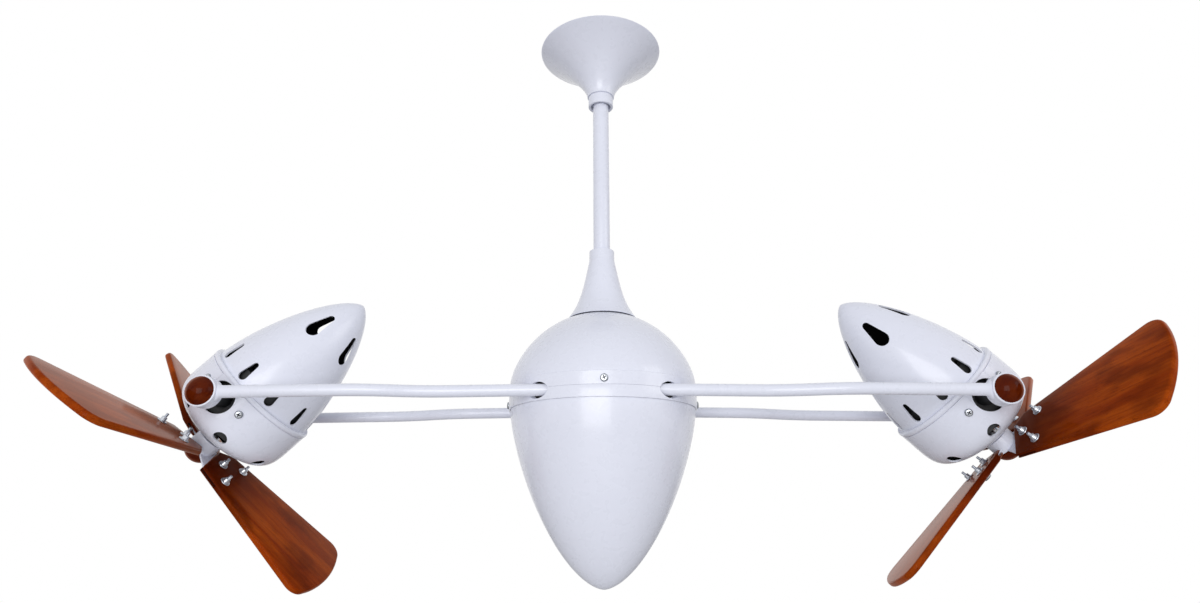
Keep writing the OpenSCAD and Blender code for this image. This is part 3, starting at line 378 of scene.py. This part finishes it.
def block(low, high):
    """A box between two corners, for cutting."""
    bm = bmesh.new()
    bmesh.ops.create_cube(bm, size=1.0)
    size = [b - a for a, b in zip(low, high)]
    bmesh.ops.scale(bm, vec=size, verts=bm.verts)
    bmesh.ops.translate(bm, vec=[(a + b) / 2 for a, b in zip(low, high)], verts=bm.verts)
    return bm


def placed(bm, place):
    bm.transform(place)
    if place.determinant() < 0:
        bmesh.ops.reverse_faces(bm, faces=bm.faces)
    return bm


def joined(shapes):
    """Several separate shapes as one."""
    whole = bmesh.new()
    for shape in shapes:
        part = bpy.data.meshes.new("part")
        shape.to_mesh(part)
        shape.free()
        whole.from_mesh(part)
        bpy.data.meshes.remove(part)
    return whole


def combined(solid, tools, way="DIFFERENCE"):
    """Cuts the tools out of a solid, fuses them with it, or keeps what they share with it."""
    things = []
    for bm in [solid] + tools:
        mesh = bpy.data.meshes.new("tool")
        bm.to_mesh(mesh)
        bm.free()
        thing = bpy.data.objects.new("tool", mesh)
        bpy.context.scene.collection.objects.link(thing)
        things.append(thing)
    for tool in things[1:]:
        step = things[0].modifiers.new("step", "BOOLEAN")
        step.operation = way
        step.solver = "EXACT"
        step.object = tool
    depsgraph = bpy.context.evaluated_depsgraph_get()
    result = bmesh.new()
    result.from_mesh(things[0].evaluated_get(depsgraph).to_mesh())
    for thing in things:
        mesh = thing.data
        bpy.data.objects.remove(thing)
        bpy.data.meshes.remove(mesh)
    bmesh.ops.remove_doubles(result, verts=result.verts, dist=1e-4)
    bmesh.ops.dissolve_degenerate(result, edges=result.edges, dist=1e-5)
    return result


def paint_shade_inside(bm):
    """Gives the second material, the painted shade, to the faces of a shape round Z that look
    towards its axis.
    """
    for face in bm.faces:
        middle = face.calc_center_median()
        if face.normal.x * middle.x + face.normal.y * middle.y < -0.05 * middle.xy.length:
            face.material_index = 1


def finished(name, bm, node, place=None, materials=None):
    """Turns a shape in mm into a piece that rides with its CAD node and stands for it."""
    if "grain" not in bm.verts.layers.float_vector:
        grain = bm.verts.layers.float_vector.new("grain")
        for vert in bm.verts:
            vert[grain] = vert.co
    if place is not None:
        placed(bm, place)
    bmesh.ops.scale(bm, vec=(0.001, 0.001, 0.001), verts=bm.verts)
    bm.normal_update()
    for face in bm.faces:
        face.smooth = True
    for edge in bm.edges:
        edge.smooth = len(edge.link_faces) != 2 or edge.calc_face_angle(0) < SHARP
    mesh = bpy.data.meshes.new(name)
    bm.to_mesh(mesh)
    bm.free()
    for material in materials or [SLOTS[slot_of[node]]]:
        mesh.materials.append(material)
    piece = bpy.data.objects.new(name, mesh)
    bpy.context.scene.collection.objects.link(piece)
    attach(piece, body_of[node])
    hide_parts(node)
    return piece


def ogive(share, p, q):
    """1 at the foot and 0 at the tip, as the dome, the bowl and the noses narrow."""
    return (1 - share ** p) ** q


def eased(steps):
    """Shares from 0 to 1 that crowd together towards 1."""
    return [math.sin(math.pi / 2 * i / steps) for i in range(steps + 1)]


# ---- Ceiling and rod ----

def make_canopy():
    steps = 40
    wall, foot_wall = 1.3 * SHELL_WALL, 1.5
    foot = ROD_D / 2 + PLAY

    def radius(share):
        return CANOPY_FOOT_D / 2 + (CANOPY_RIM_D - CANOPY_FOOT_D) / 2 * (1 - share) ** CANOPY_CURVE

    shares = [i / steps for i in range(steps + 1)]
    outer = [(radius(s), -CANOPY_H * s) for s in shares]
    inner = [(radius(s) - wall, -CANOPY_H * s) for s in reversed(shares[:-1])]
    profile = outer + [(foot, -CANOPY_H), (foot, foot_wall - CANOPY_H),
                       (CANOPY_FOOT_D / 2 - wall, foot_wall - CANOPY_H)] + inner
    finished("canopy_trumpet", spun(profile, rounded=0.6), "canopy")


def make_collar():
    top, bottom = -CANOPY_H - 0.2, -CANOPY_H - COLLAR_H
    bore = ROD_D / 2 + FIT
    profile = [(bore, top), (COLLAR_D / 2, top), (COLLAR_D / 2, bottom),
               (COLLAR_RECESS_D / 2, bottom), (COLLAR_RECESS_D / 2, top - COLLAR_ROOF),
               (bore, top - COLLAR_ROOF)]
    screw_hole = placed(cylinder(GRUB_HOLE_R, 0, COLLAR_D),
                        moved(z=top - COLLAR_ROOF / 2) @ turned(-90, "X"))
    finished("collar_ring", combined(spun(profile, rounded=0.9, segments=4), [screw_hole]),
             "canopy_collar")


def make_rod():
    bottom = NECK_TOP - ROD_END_IN_NECK - BODY_DROP
    tube = ring(ROD_D / 2, ROD_D / 2 - ROD_WALL, bottom, ROD_TOP, 64, 0.3)
    finished("downrod_tube", tube, "downrod")


def dome_height(radius):
    return BAND_TOP + DOME_H * (1 - (radius / DOME_R) ** (1 / DOME_Q)) ** (1 / DOME_P)


def make_neck():
    steps = 40
    base_z = dome_height(NECK_BASE_D / 2) + NECK_GAP
    height = NECK_TOP - base_z
    flare = (NECK_BASE_D - NECK_LIP_D) / 2 - NECK_SLOPE * height
    bore = ROD_D / 2 + FIT
    lip_top = NECK_TOP + NECK_LIP_H

    def radius(share):
        return NECK_LIP_D / 2 + NECK_SLOPE * height * share + flare * share ** 4

    shares = [i / steps for i in range(steps + 1)]
    outer = [(radius(s), NECK_TOP - height * s) for s in shares]
    inner = [(radius(s) - NECK_WALL, NECK_TOP - height * s) for s in reversed(shares[1:])]
    profile = [(bore, lip_top), (NECK_LIP_D / 2, lip_top)] + outer + inner + [(bore, NECK_TOP - 2)]
    screw_hole = placed(cylinder(GRUB_HOLE_R, 0, NECK_LIP_D),
                        moved(z=NECK_TOP + NECK_LIP_H / 2) @ turned(-90, "X"))
    finished("neck_cone", combined(spun(profile, rounded=0.7), [screw_hole]), "neck_cover", AT_BODY)


# ---- Body ----

def shell_screw_places():
    """Where the four shell screws sit on the band, with X pointing outwards."""
    high = (BAND_TOP + SEAM_Z) / 2 - 1
    low = (SEAM_Z - BAND_BOTTOM) / 2 + 0.75
    return ([turned(t, "Z") @ moved(BAND_R, 0, high) for t in (90, 270)]
            + [turned(t, "Z") @ moved(BAND_R, 0, low) for t in (0, 180)])


def band_cutters():
    """The arm holes and the screw holes through the band."""
    holes = []
    for way in (1, -1):
        for row in (-1, 1):
            hole = cylinder(ARM_HOLE_D / 2, RAIL_HALF_LENGTH, BAND_R + 20, 64)
            place = (moved(y=row * ARM_Y_BODY) @ turned(way * ARM_DROOP, "Y")
                     @ turned(90 * way, "Y"))
            holes.append(placed(hole, place))
    for place in shell_screw_places():
        holes.append(placed(cylinder(SCREW_HOLE_R, -6, 2, 24), place @ turned(90, "Y")))
    return [joined(holes)]


def make_upper_shell():
    steps = 44
    band_in = BAND_R - SHELL_WALL
    edge = (1 - (DOME_OPENING_R / DOME_R) ** (1 / DOME_Q)) ** (1 / DOME_P)
    shares = [edge * s for s in eased(steps)]
    outer = [(DOME_R * ogive(s, DOME_P, DOME_Q), BAND_TOP + DOME_H * s) for s in shares]
    inner = [(DOME_R * ogive(s, DOME_P, DOME_Q) - SHELL_WALL,
              BAND_TOP + DOME_H * s - SHELL_WALL * s) for s in reversed(shares)]
    profile = [(band_in, SEAM_Z), (BAND_R, SEAM_Z), (BAND_R, BAND_TOP - 0.4)] + outer + inner
    bm = spun(profile)
    paint_shade_inside(bm)
    finished("upper_dome", combined(bm, band_cutters()), "upper_shell", AT_BODY, [ENAMEL, PAINTED_SHADE])


def make_lower_band():
    bm = ring(BAND_R, BAND_R - SHELL_WALL, -BAND_BOTTOM, SEAM_Z - FIT, rounded=0.25)
    paint_shade_inside(bm)
    finished("band_ring", combined(bm, band_cutters()), "lower_band", AT_BODY, [ENAMEL, PAINTED_SHADE])


def make_lower_shell():
    steps = 56
    top = -BAND_BOTTOM
    wall, tip_wall = 1.3 * SHELL_WALL, 2.5 * SHELL_WALL
    lip_r = BAND_R - SHELL_WALL - FIT
    shares = eased(steps)
    outer = [(BOWL_R * ogive(s, BOWL_P, BOWL_Q), top - FIT - BOWL_H * s) for s in shares]
    inner = [((BOWL_R - wall) * ogive(s, BOWL_P, BOWL_Q),
              top - (BOWL_H - tip_wall) * s) for s in reversed(shares[1:-1])]
    profile = ([(lip_r, SEAM_Z - 1), (lip_r, top - FIT)] + outer
               + [(0, top - BOWL_H + tip_wall)] + inner
               + [(lip_r - SHELL_WALL, top), (lip_r - SHELL_WALL, SEAM_Z - 1)])
    bm = spun(profile)
    paint_shade_inside(bm)
    finished("lower_bowl", combined(bm, band_cutters()), "lower_shell", AT_BODY, [ENAMEL, PAINTED_SHADE])


def pan_head(head_d, stem_d, length, turns=SMALL_TURNS):
    """A cross-recessed screw along Z, its head standing up from z = 0, with SCREW_MATERIALS."""
    head_h = 0.3 * head_d
    r = head_d / 2
    crown = [(r, 0.45 * head_h), (0.97 * r, 0.7 * head_h), (0.88 * r, 0.9 * head_h),
             (0.74 * r, head_h), (0, head_h)]
    profile = [(0, -length), (stem_d / 2, -length), (stem_d / 2, 0), (r, 0)] + crown
    reach, half, floor = 0.27 * head_d, 0.07 * head_d, 0.3 * head_h
    slots = [placed(block((-reach, -half, floor), (reach, half, 2 * head_h)), turned(turn, "Z"))
             for turn in (20, 110)]
    bm = combined(spun(profile, turns), slots)
    # painted shade: the rim takes the greyer steel and the recess the near-black shade material,
    # while the face keeps the zinc
    for face in bm.faces:
        middle = face.calc_center_median()
        painted_recess_shade = 0.25 * head_h < middle.z < 0.99 * head_h and middle.xy.length < 0.36 * head_d
        painted_rim_shade = middle.xy.length > 0.4 * head_d
        face.material_index = 2 if painted_recess_shade else 1 if painted_rim_shade else 0
    return bm


def make_shell_screws():
    screws = [placed(pan_head(PAN_HEAD_D, PAN_STEM_D, BAND_SCREW_LEN), place @ turned(90, "Y"))
              for place in shell_screw_places()]
    finished("band_screws", joined(screws), "shell_screws", AT_BODY, SCREW_MATERIALS)


# ---- Arms ----

def make_arm(side, row):
    bend_out = ARM_Y_HEAD - ARM_Y_BODY
    bend_r = (BEND_LEN ** 2 + bend_out ** 2 - BEND_MIDDLE ** 2) / (4 * bend_out)
    angle = (math.atan2(BEND_LEN / 2, bend_r - bend_out / 2)
             - math.atan(BEND_MIDDLE / 2 / bend_r))
    bend_x = BEND_START - ARM_ROOT
    steps = 20
    bm = bmesh.new()
    bmesh.ops.create_circle(bm, cap_ends=False, radius=TUBE_R, segments=40)
    placed(bm, moved(y=-ARM_Y_BODY) @ turned(90, "Y"))
    end = list(bm.edges)

    def onwards(edges, shift):
        grown = bmesh.ops.extrude_edge_only(bm, edges=edges)["geom"]
        corners = [g for g in grown if isinstance(g, bmesh.types.BMVert)]
        bmesh.ops.translate(bm, vec=shift, verts=corners)
        return [g for g in grown if isinstance(g, bmesh.types.BMEdge)
                and len(g.link_faces) == 1]

    def round_bend(edges, middle, turn):
        grown = bmesh.ops.spin(bm, geom=edges, cent=middle, axis=(0, 0, 1), angle=turn,
                               steps=steps)["geom_last"]
        return [g for g in grown if isinstance(g, bmesh.types.BMEdge)]

    end = onwards(end, (bend_x, 0, 0))
    end = round_bend(end, (bend_x, -ARM_Y_BODY - bend_r, 0), -angle)
    end = onwards(end, (BEND_MIDDLE * math.cos(angle), -BEND_MIDDLE * math.sin(angle), 0))
    end = round_bend(end, (bend_x + BEND_LEN, -ARM_Y_HEAD + bend_r, 0), angle)
    # the tube grows taller where it is welded into the boss
    boss_r = BOSS_D / 2
    here = bend_x + BEND_LEN
    for beyond, height in WELD:
        at = ARM_LENGTH - boss_r + beyond
        end = onwards(end, (at - here, 0, 0))
        verts = list({v for e in end for v in e.verts})
        tall = max(v.co.z for v in verts)
        bmesh.ops.scale(bm, vec=(1, 1, TUBE_R * height / tall), verts=verts)
        here = at
    bmesh.ops.holes_fill(bm, edges=[e for e in bm.edges if len(e.link_faces) == 1], sides=0)
    bmesh.ops.recalc_face_normals(bm, faces=bm.faces)
    lie = moved(ARM_LENGTH) @ turned(90, "X")
    boss = placed(cylinder(boss_r, BOSS_INNER, BOSS_OUTER, 96, 0.7), lie)
    arm = combined(bm, [boss], "UNION")
    socket = placed(cylinder(SOCKET_R, SOCKET_FLOOR, BOSS_OUTER + 2, 64), lie)
    seat = placed(cylinder(CAP_D / 2 + FIT, BOSS_OUTER - CAP_RIM - FIT, BOSS_OUTER + 2, 64), lie)
    bolt = placed(cylinder(PIVOT_BOLT_R + 0.05, BOSS_INNER - 1, SOCKET_FLOOR + 1, 32), lie)
    arm = combined(arm, [socket, seat, bolt])
    node = f"{row}_{side}_arm"
    finished(f"{row}_{side}_tube_and_boss", arm, node, at_arm(side, row))


def make_dome_caps():
    plug_r = SOCKET_R - FIT
    dome_r = ((CAP_D / 2) ** 2 + CAP_RISE ** 2) / (2 * CAP_RISE)
    spread = math.asin(CAP_D / 2 / dome_r)
    dome = [(dome_r * math.sin(a), CAP_RISE - dome_r * (1 - math.cos(a)))
            for a in (spread * i / 18 for i in range(18, -1, -1))]
    caps = []
    for index, (side, row) in enumerate((s, r) for s in ("left", "right")
                                        for r in ("front", "back")):
        cap = spun([(0, -CAP_PLUG), (plug_r, -CAP_PLUG), (plug_r, -CAP_RIM),
                    (CAP_D / 2, -CAP_RIM)] + dome, 72)
        grain = cap.verts.layers.float_vector.new("grain")
        # turned from the dark heart of the plank
        for vert in cap.verts:
            vert[grain] = turned(35 + 40 * index, "Z") @ vert.co + Vector((22, 30 * index, 0))
        place = at_arm(side, row) @ moved(ARM_LENGTH, -BOSS_OUTER, 0) @ turned(90, "X")
        caps.append(placed(cap, place))
    finished("dome_cap_set", joined(caps), "dome_caps", None, [TURNED_WOOD])


# ---- Heads ----

def drop_cutter(turn, s, fat, thin, length):
    """A drop-shaped hole through a head's shell, its fat end nearer the blades."""
    bm = bmesh.new()
    for radius, back in ((fat, 0.0), (thin, length)):
        for out in (15.0, HEAD_R + 10):
            disc = bmesh.ops.create_circle(bm, cap_ends=False, radius=radius, segments=28)["verts"]
            bmesh.ops.transform(bm, verts=disc, matrix=moved(out, 0, s - back) @ turned(90, "Y"))
    hull = bmesh.ops.convex_hull(bm, input=bm.verts)
    spare = [g for g in hull["geom_interior"] + hull["geom_unused"]
             if isinstance(g, bmesh.types.BMVert)]
    bmesh.ops.delete(bm, geom=spare, context="VERTS")
    bmesh.ops.recalc_face_normals(bm, faces=bm.faces)
    return placed(bm, turned(turn, "Z"))


def head_screw_places():
    return [turned(side + way * HEAD_SCREW_TURN, "Z") @ moved(HEAD_R, 0, HEAD_SCREW_S)
            for side in (90, 270) for way in (-1, 1)]


def head_screw_cutters():
    return [placed(cylinder(HEAD_SCREW_HOLE_R, -6, 2, 24), place @ turned(90, "Y"))
            for place in head_screw_places()]


def pivot_cutter():
    return placed(cylinder(PIVOT_HOLE_D / 2, -HEAD_R - 5, HEAD_R + 5, 64), turned(90, "X"))


def make_rear_shell(side):
    steps = 56
    start = SEAM_BACK + BEAD_W
    length = NOSE_BACK - start
    skirt = HEAD_R - HEAD_WALL - PLAY
    skirt_in = skirt - HEAD_WALL
    inner_end = -NOSE_BACK + 1.4 * HEAD_WALL
    shares = eased(steps)
    outer = [(REAR_R * ogive(s, REAR_P, REAR_Q), -start - length * s) for s in shares]
    inner = [(REAR_R * ogive(s, REAR_P, REAR_Q) * (1 - 1.2 * HEAD_WALL / REAR_R),
              -start + (inner_end + start) * s) for s in reversed(shares[:-1])]
    bead = [(BEAD_R - BEAD_BULGE + BEAD_BULGE * math.sin(a),
             -SEAM_BACK - BEAD_W / 2 * (1 - math.cos(a)))
            for a in (math.pi * i / 8 for i in range(9))]
    profile = ([(skirt_in, 1.0), (skirt, 1.0), (skirt, -SEAM_BACK)] + bead + outer
               + [(0, inner_end)] + inner + [(skirt_in, -SEAM_BACK)])
    bm = spun(profile)
    paint_shade_inside(bm)
    # the tab that fills the front shell's notch behind each pivot
    half = PIVOT_HOLE_D / 2 - 0.15
    for way in (-1, 1):
        tab = ring(HEAD_R, skirt_in + 0.2, -SEAM_BACK - 0.6, 0.0, 192)
        keep = block((-half, 0, -SEAM_BACK - 2), (half, way * (HEAD_R + 5), 1))
        if way < 0:
            bmesh.ops.recalc_face_normals(keep, faces=keep.faces)
        bm = combined(bm, [combined(tab, [keep], "INTERSECT")], "UNION")
    drops = [drop_cutter(SEAM_VENT_TURN[side] + 360 * i / SEAM_VENTS, *SEAM_DROP)
             for i in range(SEAM_VENTS)]
    drops += [drop_cutter(NOSE_VENT_TURN[side] + 360 * i / NOSE_VENTS, *NOSE_DROP)
              for i in range(NOSE_VENTS)]
    bm = combined(bm, [pivot_cutter(), joined(head_screw_cutters())] + drops)
    finished(f"{side}_nose_shell", bm, f"{side}_rear_shell", at_head(side), [ENAMEL, PAINTED_SHADE])


def make_front_shell(side):
    steps = 52
    edge = (1 - (HUB_OPENING_R / HEAD_R) ** (1 / FRONT_Q)) ** (1 / FRONT_P)
    shares = [edge * s for s in eased(steps)]
    outer = [(HEAD_R * ogive(s, FRONT_P, FRONT_Q), FRONT_LEN * s - SEAM_BACK) for s in shares]
    inner = [((HEAD_R - HEAD_WALL) * ogive(s, FRONT_P, FRONT_Q),
              (FRONT_LEN - HEAD_WALL) * s - SEAM_BACK) for s in reversed(shares)]
    lip = [(HUB_OPENING_R - HEAD_WALL, FRONT_LEN * edge - SEAM_BACK - HEAD_WALL)]
    bm = spun(outer + lip + inner)
    paint_shade_inside(bm)
    half = PIVOT_HOLE_D / 2
    notch = block((-half, -HEAD_R - 5, -SEAM_BACK - 2), (half, HEAD_R + 5, 0))
    rounds = [placed(cylinder(HUB_VENT_D / 2, -9, 9, 48),
                     turned(HUB_VENT_TURN[side] + 360 * i / HUB_VENTS, "Z")
                     @ moved(HUB_VENT_OUT, 0, HUB_VENT_ALONG) @ turned(HUB_VENT_LEAN, "Y"))
              for i in range(HUB_VENTS)]
    bm = combined(bm, [pivot_cutter(), notch, joined(head_screw_cutters()), joined(rounds)])
    finished(f"{side}_face_shell", bm, f"{side}_front_shell", at_head(side), [ENAMEL, PAINTED_SHADE])


def make_head_screws(side):
    screws = [placed(pan_head(PAN_HEAD_D, PAN_STEM_D, HEAD_SCREW_LEN), place @ turned(90, "Y"))
              for place in head_screw_places()]
    finished(f"{side}_shell_screw_set", joined(screws), f"{side}_head_screws", at_head(side),
             SCREW_MATERIALS)


# ---- Rotors ----

def arc(middle, radius, start, end, steps):
    return [(middle[0] + radius * math.cos(start + (end - start) * i / steps),
             middle[1] + radius * math.sin(start + (end - start) * i / steps))
            for i in range(steps + 1)]


def blade_outline():
    """Straight edges, one cut corner, and a bulging tip between two round corners."""
    chord = (TIP_LEAD[0] - TIP_TRAIL[0], TIP_LEAD[1] - TIP_TRAIL[1])
    half = math.hypot(*chord) / 2
    bulge_r = (half ** 2 + TIP_BULGE ** 2) / (2 * TIP_BULGE)
    facing = math.atan2(-chord[0], chord[1])
    centre = [(a + b) / 2 - (bulge_r - TIP_BULGE) * f
              for a, b, f in zip(TIP_LEAD, TIP_TRAIL, (math.cos(facing), math.sin(facing)))]
    spread = math.asin((half - TIP_ROUND) / (bulge_r - TIP_ROUND))
    trail = math.atan2(TIP_TRAIL[1] - ROOT_CORNER[1], TIP_TRAIL[0] - ROOT_CORNER[0])
    lead = math.atan2(TIP_LEAD[1] - ROOT_LEAD[1], TIP_LEAD[0] - ROOT_LEAD[0])
    low, high = [arc(centre, bulge_r - TIP_ROUND, a, a, 1)[0]
                 for a in (facing - spread, facing + spread)]
    return ([ROOT_LEAD, ROOT_TRAIL, ROOT_CORNER]
            + arc(low, TIP_ROUND, trail - math.pi / 2, facing - spread, 10)
            + arc(centre, bulge_r, facing - 0.8 * spread, facing + 0.8 * spread, 14)
            + arc(high, TIP_ROUND, facing + spread, lead + math.pi / 2, 10))


def slab(outline, thickness, rounded, segments=4):
    """A flat outline given its thickness, with its edges rounded."""
    bm = bmesh.new()
    corners = [bm.verts.new((x, y, -thickness / 2)) for x, y in outline]
    face = bm.faces.new(corners)
    grown = bmesh.ops.extrude_face_region(bm, geom=[face])["geom"]
    bmesh.ops.translate(bm, vec=(0, 0, thickness),
                        verts=[g for g in grown if isinstance(g, bmesh.types.BMVert)])
    bmesh.ops.recalc_face_normals(bm, faces=bm.faces)
    rims = [e for e in bm.edges if abs(e.verts[0].co.z - e.verts[1].co.z) < 1e-6]
    bmesh.ops.bevel(bm, geom=rims, offset=rounded, offset_type="OFFSET", segments=segments,
                    profile=0.5, affect="EDGES", material=-1, clamp_overlap=True)
    return bm


def make_blade(side, index):
    bm = slab(blade_outline(), BLADE_T, 2.3, 5)
    slot = block((0, TONGUE_TRAIL - FIT, -TONGUE_T / 2 - FIT),
                 (TONGUE_END + 1, TONGUE_LEAD + FIT, TONGUE_T / 2 + FIT))
    holes = [placed(cylinder(BLADE_BOLT_D / 2 + FIT, -BLADE_T, BLADE_T, 24), moved(x, y))
             for x, y in BLADE_BOLTS]
    bm = combined(bm, [slot, joined(holes)])
    grain = bm.verts.layers.float_vector.new("grain")
    # each blade is cut from another place in the plank
    plank = Vector((0, 140 * index + (70 if side == "left" else 0), 25 * index))
    for vert in bm.verts:
        vert[grain] = turned(4 * index - 9, "Z") @ vert.co + plank
    name = f"{side}_blade_{index + 1}"
    finished(f"{name}_board", bm, name, at_blade(side, index))


def make_hub(side):
    tongues = []
    barrel = placed(cylinder(HUB_R, HUB_BACK, HUB_BACK + HUB_LEN, 96, 0.8), at_head(side))
    for index in range(3):
        outline = [(0, -8), (ROOT_TRAIL[0], ROOT_TRAIL[1] + 3), (TONGUE_END, TONGUE_TRAIL),
                   (TONGUE_END, TONGUE_LEAD), (ROOT_LEAD[0], ROOT_LEAD[1] - 4), (0, 8)]
        tongues.append(placed(slab(outline, TONGUE_T, 0.3, 2), at_blade(side, index)))
    front = HUB_BACK + HUB_LEN
    # the shaft's bore, and whatever part of a tongue stands out in front of the barrel
    cutters = [placed(cylinder(SHAFT_BORE_R, HUB_BACK - 1, front - 2, 48), at_head(side)),
               placed(cylinder(HUB_R + 1, front, front + HUB_LEN, 48), at_head(side))]
    for index in range(3):
        holes = [placed(cylinder(BLADE_BOLT_D / 2 + FIT, -10, 10, 24),
                        at_blade(side, index) @ moved(x, y)) for x, y in BLADE_BOLTS]
        cutters.append(joined(holes))
    bm = combined(combined(barrel, tongues, "UNION"), cutters)
    finished(f"{side}_hub_spider", bm, f"{side}_hub")


def make_blade_bolts(side):
    bolts, nuts = [], []
    tip = BLADE_BOLT_TIP
    for index in range(3):
        for x, y in BLADE_BOLTS:
            seat = at_blade(side, index) @ moved(x, y)
            bolt = pan_head(BLADE_BOLT_HEAD_D, BLADE_BOLT_D, BLADE_T + 4.2, 24)
            thread = [(0, -tip), (1.1, -tip)]
            for turn in range(8):
                z = -tip + 0.3 + turn * THREAD_PITCH
                thread += [(BLADE_BOLT_D / 2, z), (1.22, z + THREAD_PITCH / 2)]
            thread += [(1.22, -4.0), (0, -4.0)]
            bolts.append(placed(bolt, seat @ moved(z=BLADE_T / 2)))
            bolts.append(placed(spun(thread, 20), seat @ moved(z=-BLADE_T / 2)))
            bore = BLADE_BOLT_D / 2 + 0.03
            # a flange nut: a wide washer foot under a narrow barrel
            nut = [(bore, 0), (4.9, 0), (5.0, 0.6), (4.7, 1.1), (3.0, 1.3), (2.8, 1.6),
                   (2.7, 4.4), (2.3, 4.9), (bore, 4.9)]
            nuts.append(placed(spun(nut, 36), seat @ moved(z=-BLADE_T / 2) @ turned(180, "X")))
    finished(f"{side}_blade_bolt_set", joined(bolts), f"{side}_blade_bolts", None,
             SCREW_MATERIALS)
    finished(f"{side}_flange_nut_set", joined(nuts), f"{side}_blade_nuts")


def make_finial(side):
    base = HUB_BACK + HUB_LEN
    r = HUB_R + 0.5
    dome = [(r * math.cos(a), 1 + (FINIAL_RISE - 1) * math.sin(a))
            for a in (math.pi / 2 * i / 20 for i in range(21))]
    bm = spun([(0, 0), (r - 1, 0)] + dome, 72)
    grain = bm.verts.layers.float_vector.new("grain")
    for vert in bm.verts:
        vert[grain] = vert.co + Vector((30, 300 if side == "left" else 340, 0))
    finished(f"{side}_wood_finial", bm, f"{side}_finial", at_head(side) @ moved(z=base),
             [TURNED_WOOD])


# ---- Studio ----

def make_camera():
    """The photograph's own viewpoint, from below and in front."""
    right = Vector((1, 0, 0))
    ahead = Vector((0, math.cos(PITCH), math.sin(PITCH)))
    up = right.cross(ahead)
    rolled_right = right * math.cos(ROLL) - up * math.sin(ROLL)
    rolled_up = up * math.cos(ROLL) + right * math.sin(ROLL)
    lens = bpy.data.cameras.new("viewpoint")
    lens.sensor_width = 36.0
    lens.lens = FOCAL_PX / FRAME_W * lens.sensor_width
    lens.shift_x = (FRAME_W / 2 - CENTRE_PX) / FRAME_W
    lens.clip_start = 0.01
    camera = bpy.data.objects.new("viewpoint", lens)
    basis = Matrix((rolled_right, rolled_up, -ahead)).transposed().to_4x4()
    camera.matrix_world = Matrix.Translation(EYE / 1000) @ basis
    bpy.context.scene.collection.objects.link(camera)
    bpy.context.scene.camera = camera


def make_lamp(name, at, towards, size, power):
    """A square softbox, placed and sized in metres."""
    lamp = bpy.data.lights.new(name, "AREA")
    lamp.shape = "SQUARE"
    lamp.size = size
    lamp.energy = power
    thing = bpy.data.objects.new(name, lamp)
    aim = (Vector(towards) - Vector(at)).to_track_quat("-Z", "Y").to_matrix().to_4x4()
    thing.matrix_world = Matrix.Translation(at) @ aim
    bpy.context.scene.collection.objects.link(thing)


def make_studio():
    """White surroundings, a pale floor and two softboxes."""
    world = bpy.data.worlds.new("white_studio")
    world.use_nodes = True
    bpy.context.scene.world = world
    tree = world.node_tree
    tree.nodes.clear()
    # white where the camera sees them or a surface mirrors them, and dimmer as a light
    path = add_node(tree, "ShaderNodeLightPath")
    seen = add_node(tree, "ShaderNodeMath", {"operation": "MAXIMUM"}, {
        0: path.outputs["Is Camera Ray"], 1: path.outputs["Is Glossy Ray"]})
    clear = add_node(tree, "ShaderNodeMath", {"operation": "MAXIMUM"}, {
        0: seen.outputs[0], 1: path.outputs["Is Transmission Ray"]})
    level = add_node(tree, "ShaderNodeMapRange", {}, {
        "Value": clear.outputs[0], "To Min": SKY_LIGHT, "To Max": 1.0})
    sky = add_node(tree, "ShaderNodeBackground", {}, {
        "Color": hex_colour("#FFFFFF"), "Strength": level.outputs["Result"]})
    out = add_node(tree, "ShaderNodeOutputWorld")
    tree.links.new(sky.outputs["Background"], out.inputs["Surface"])

    floor_mesh = bmesh.new()
    bmesh.ops.create_grid(floor_mesh, x_segments=1, y_segments=1, size=6.0)
    bmesh.ops.translate(floor_mesh, vec=(0, 0, FLOOR_Z), verts=floor_mesh.verts)
    mesh = bpy.data.meshes.new("pale_floor")
    floor_mesh.to_mesh(mesh)
    floor_mesh.free()
    floor = bpy.data.objects.new("pale_floor", mesh)
    paint = bpy.data.materials.new("floor_paint")
    paint.use_nodes = True
    tree = paint.node_tree
    shader = next(n for n in tree.nodes if n.type == "BSDF_PRINCIPLED")
    shader.inputs["Base Color"].default_value = hex_colour("#D2D2D2")
    shader.inputs["Roughness"].default_value = 0.9
    path = add_node(tree, "ShaderNodeLightPath")
    glow = add_node(tree, "ShaderNodeMath", {"operation": "MULTIPLY"}, {
        0: path.outputs["Is Camera Ray"], 1: FLOOR_GLOW})
    tree.links.new(glow.outputs[0], shader.inputs["Emission Strength"])
    shader.inputs["Emission Color"].default_value = hex_colour("#FFFFFF")
    mesh.materials.append(paint)
    bpy.context.scene.collection.objects.link(floor)

    make_lamp("front_softbox", (-0.4, -2.6, -0.5), (0, 0, -0.42), 1.6, FRONT_LAMP_W)
    make_lamp("side_softbox", (2.4, -1.2, 0.4), (0.2, 0, -0.4), 1.2, SIDE_LAMP_W)


bpy.context.scene.view_settings.view_transform = "Standard"
make_camera()
make_studio()

make_canopy()
make_collar()
make_rod()
make_neck()
make_upper_shell()
make_lower_band()
make_lower_shell()
make_shell_screws()
for side in ("left", "right"):
    for row in ("front", "back"):
        make_arm(side, row)
make_dome_caps()
for side in ("left", "right"):
    make_rear_shell(side)
    make_front_shell(side)
    make_head_screws(side)
    make_hub(side)
    make_blade_bolts(side)
    make_finial(side)
    for index in range(3):
        make_blade(side, index)
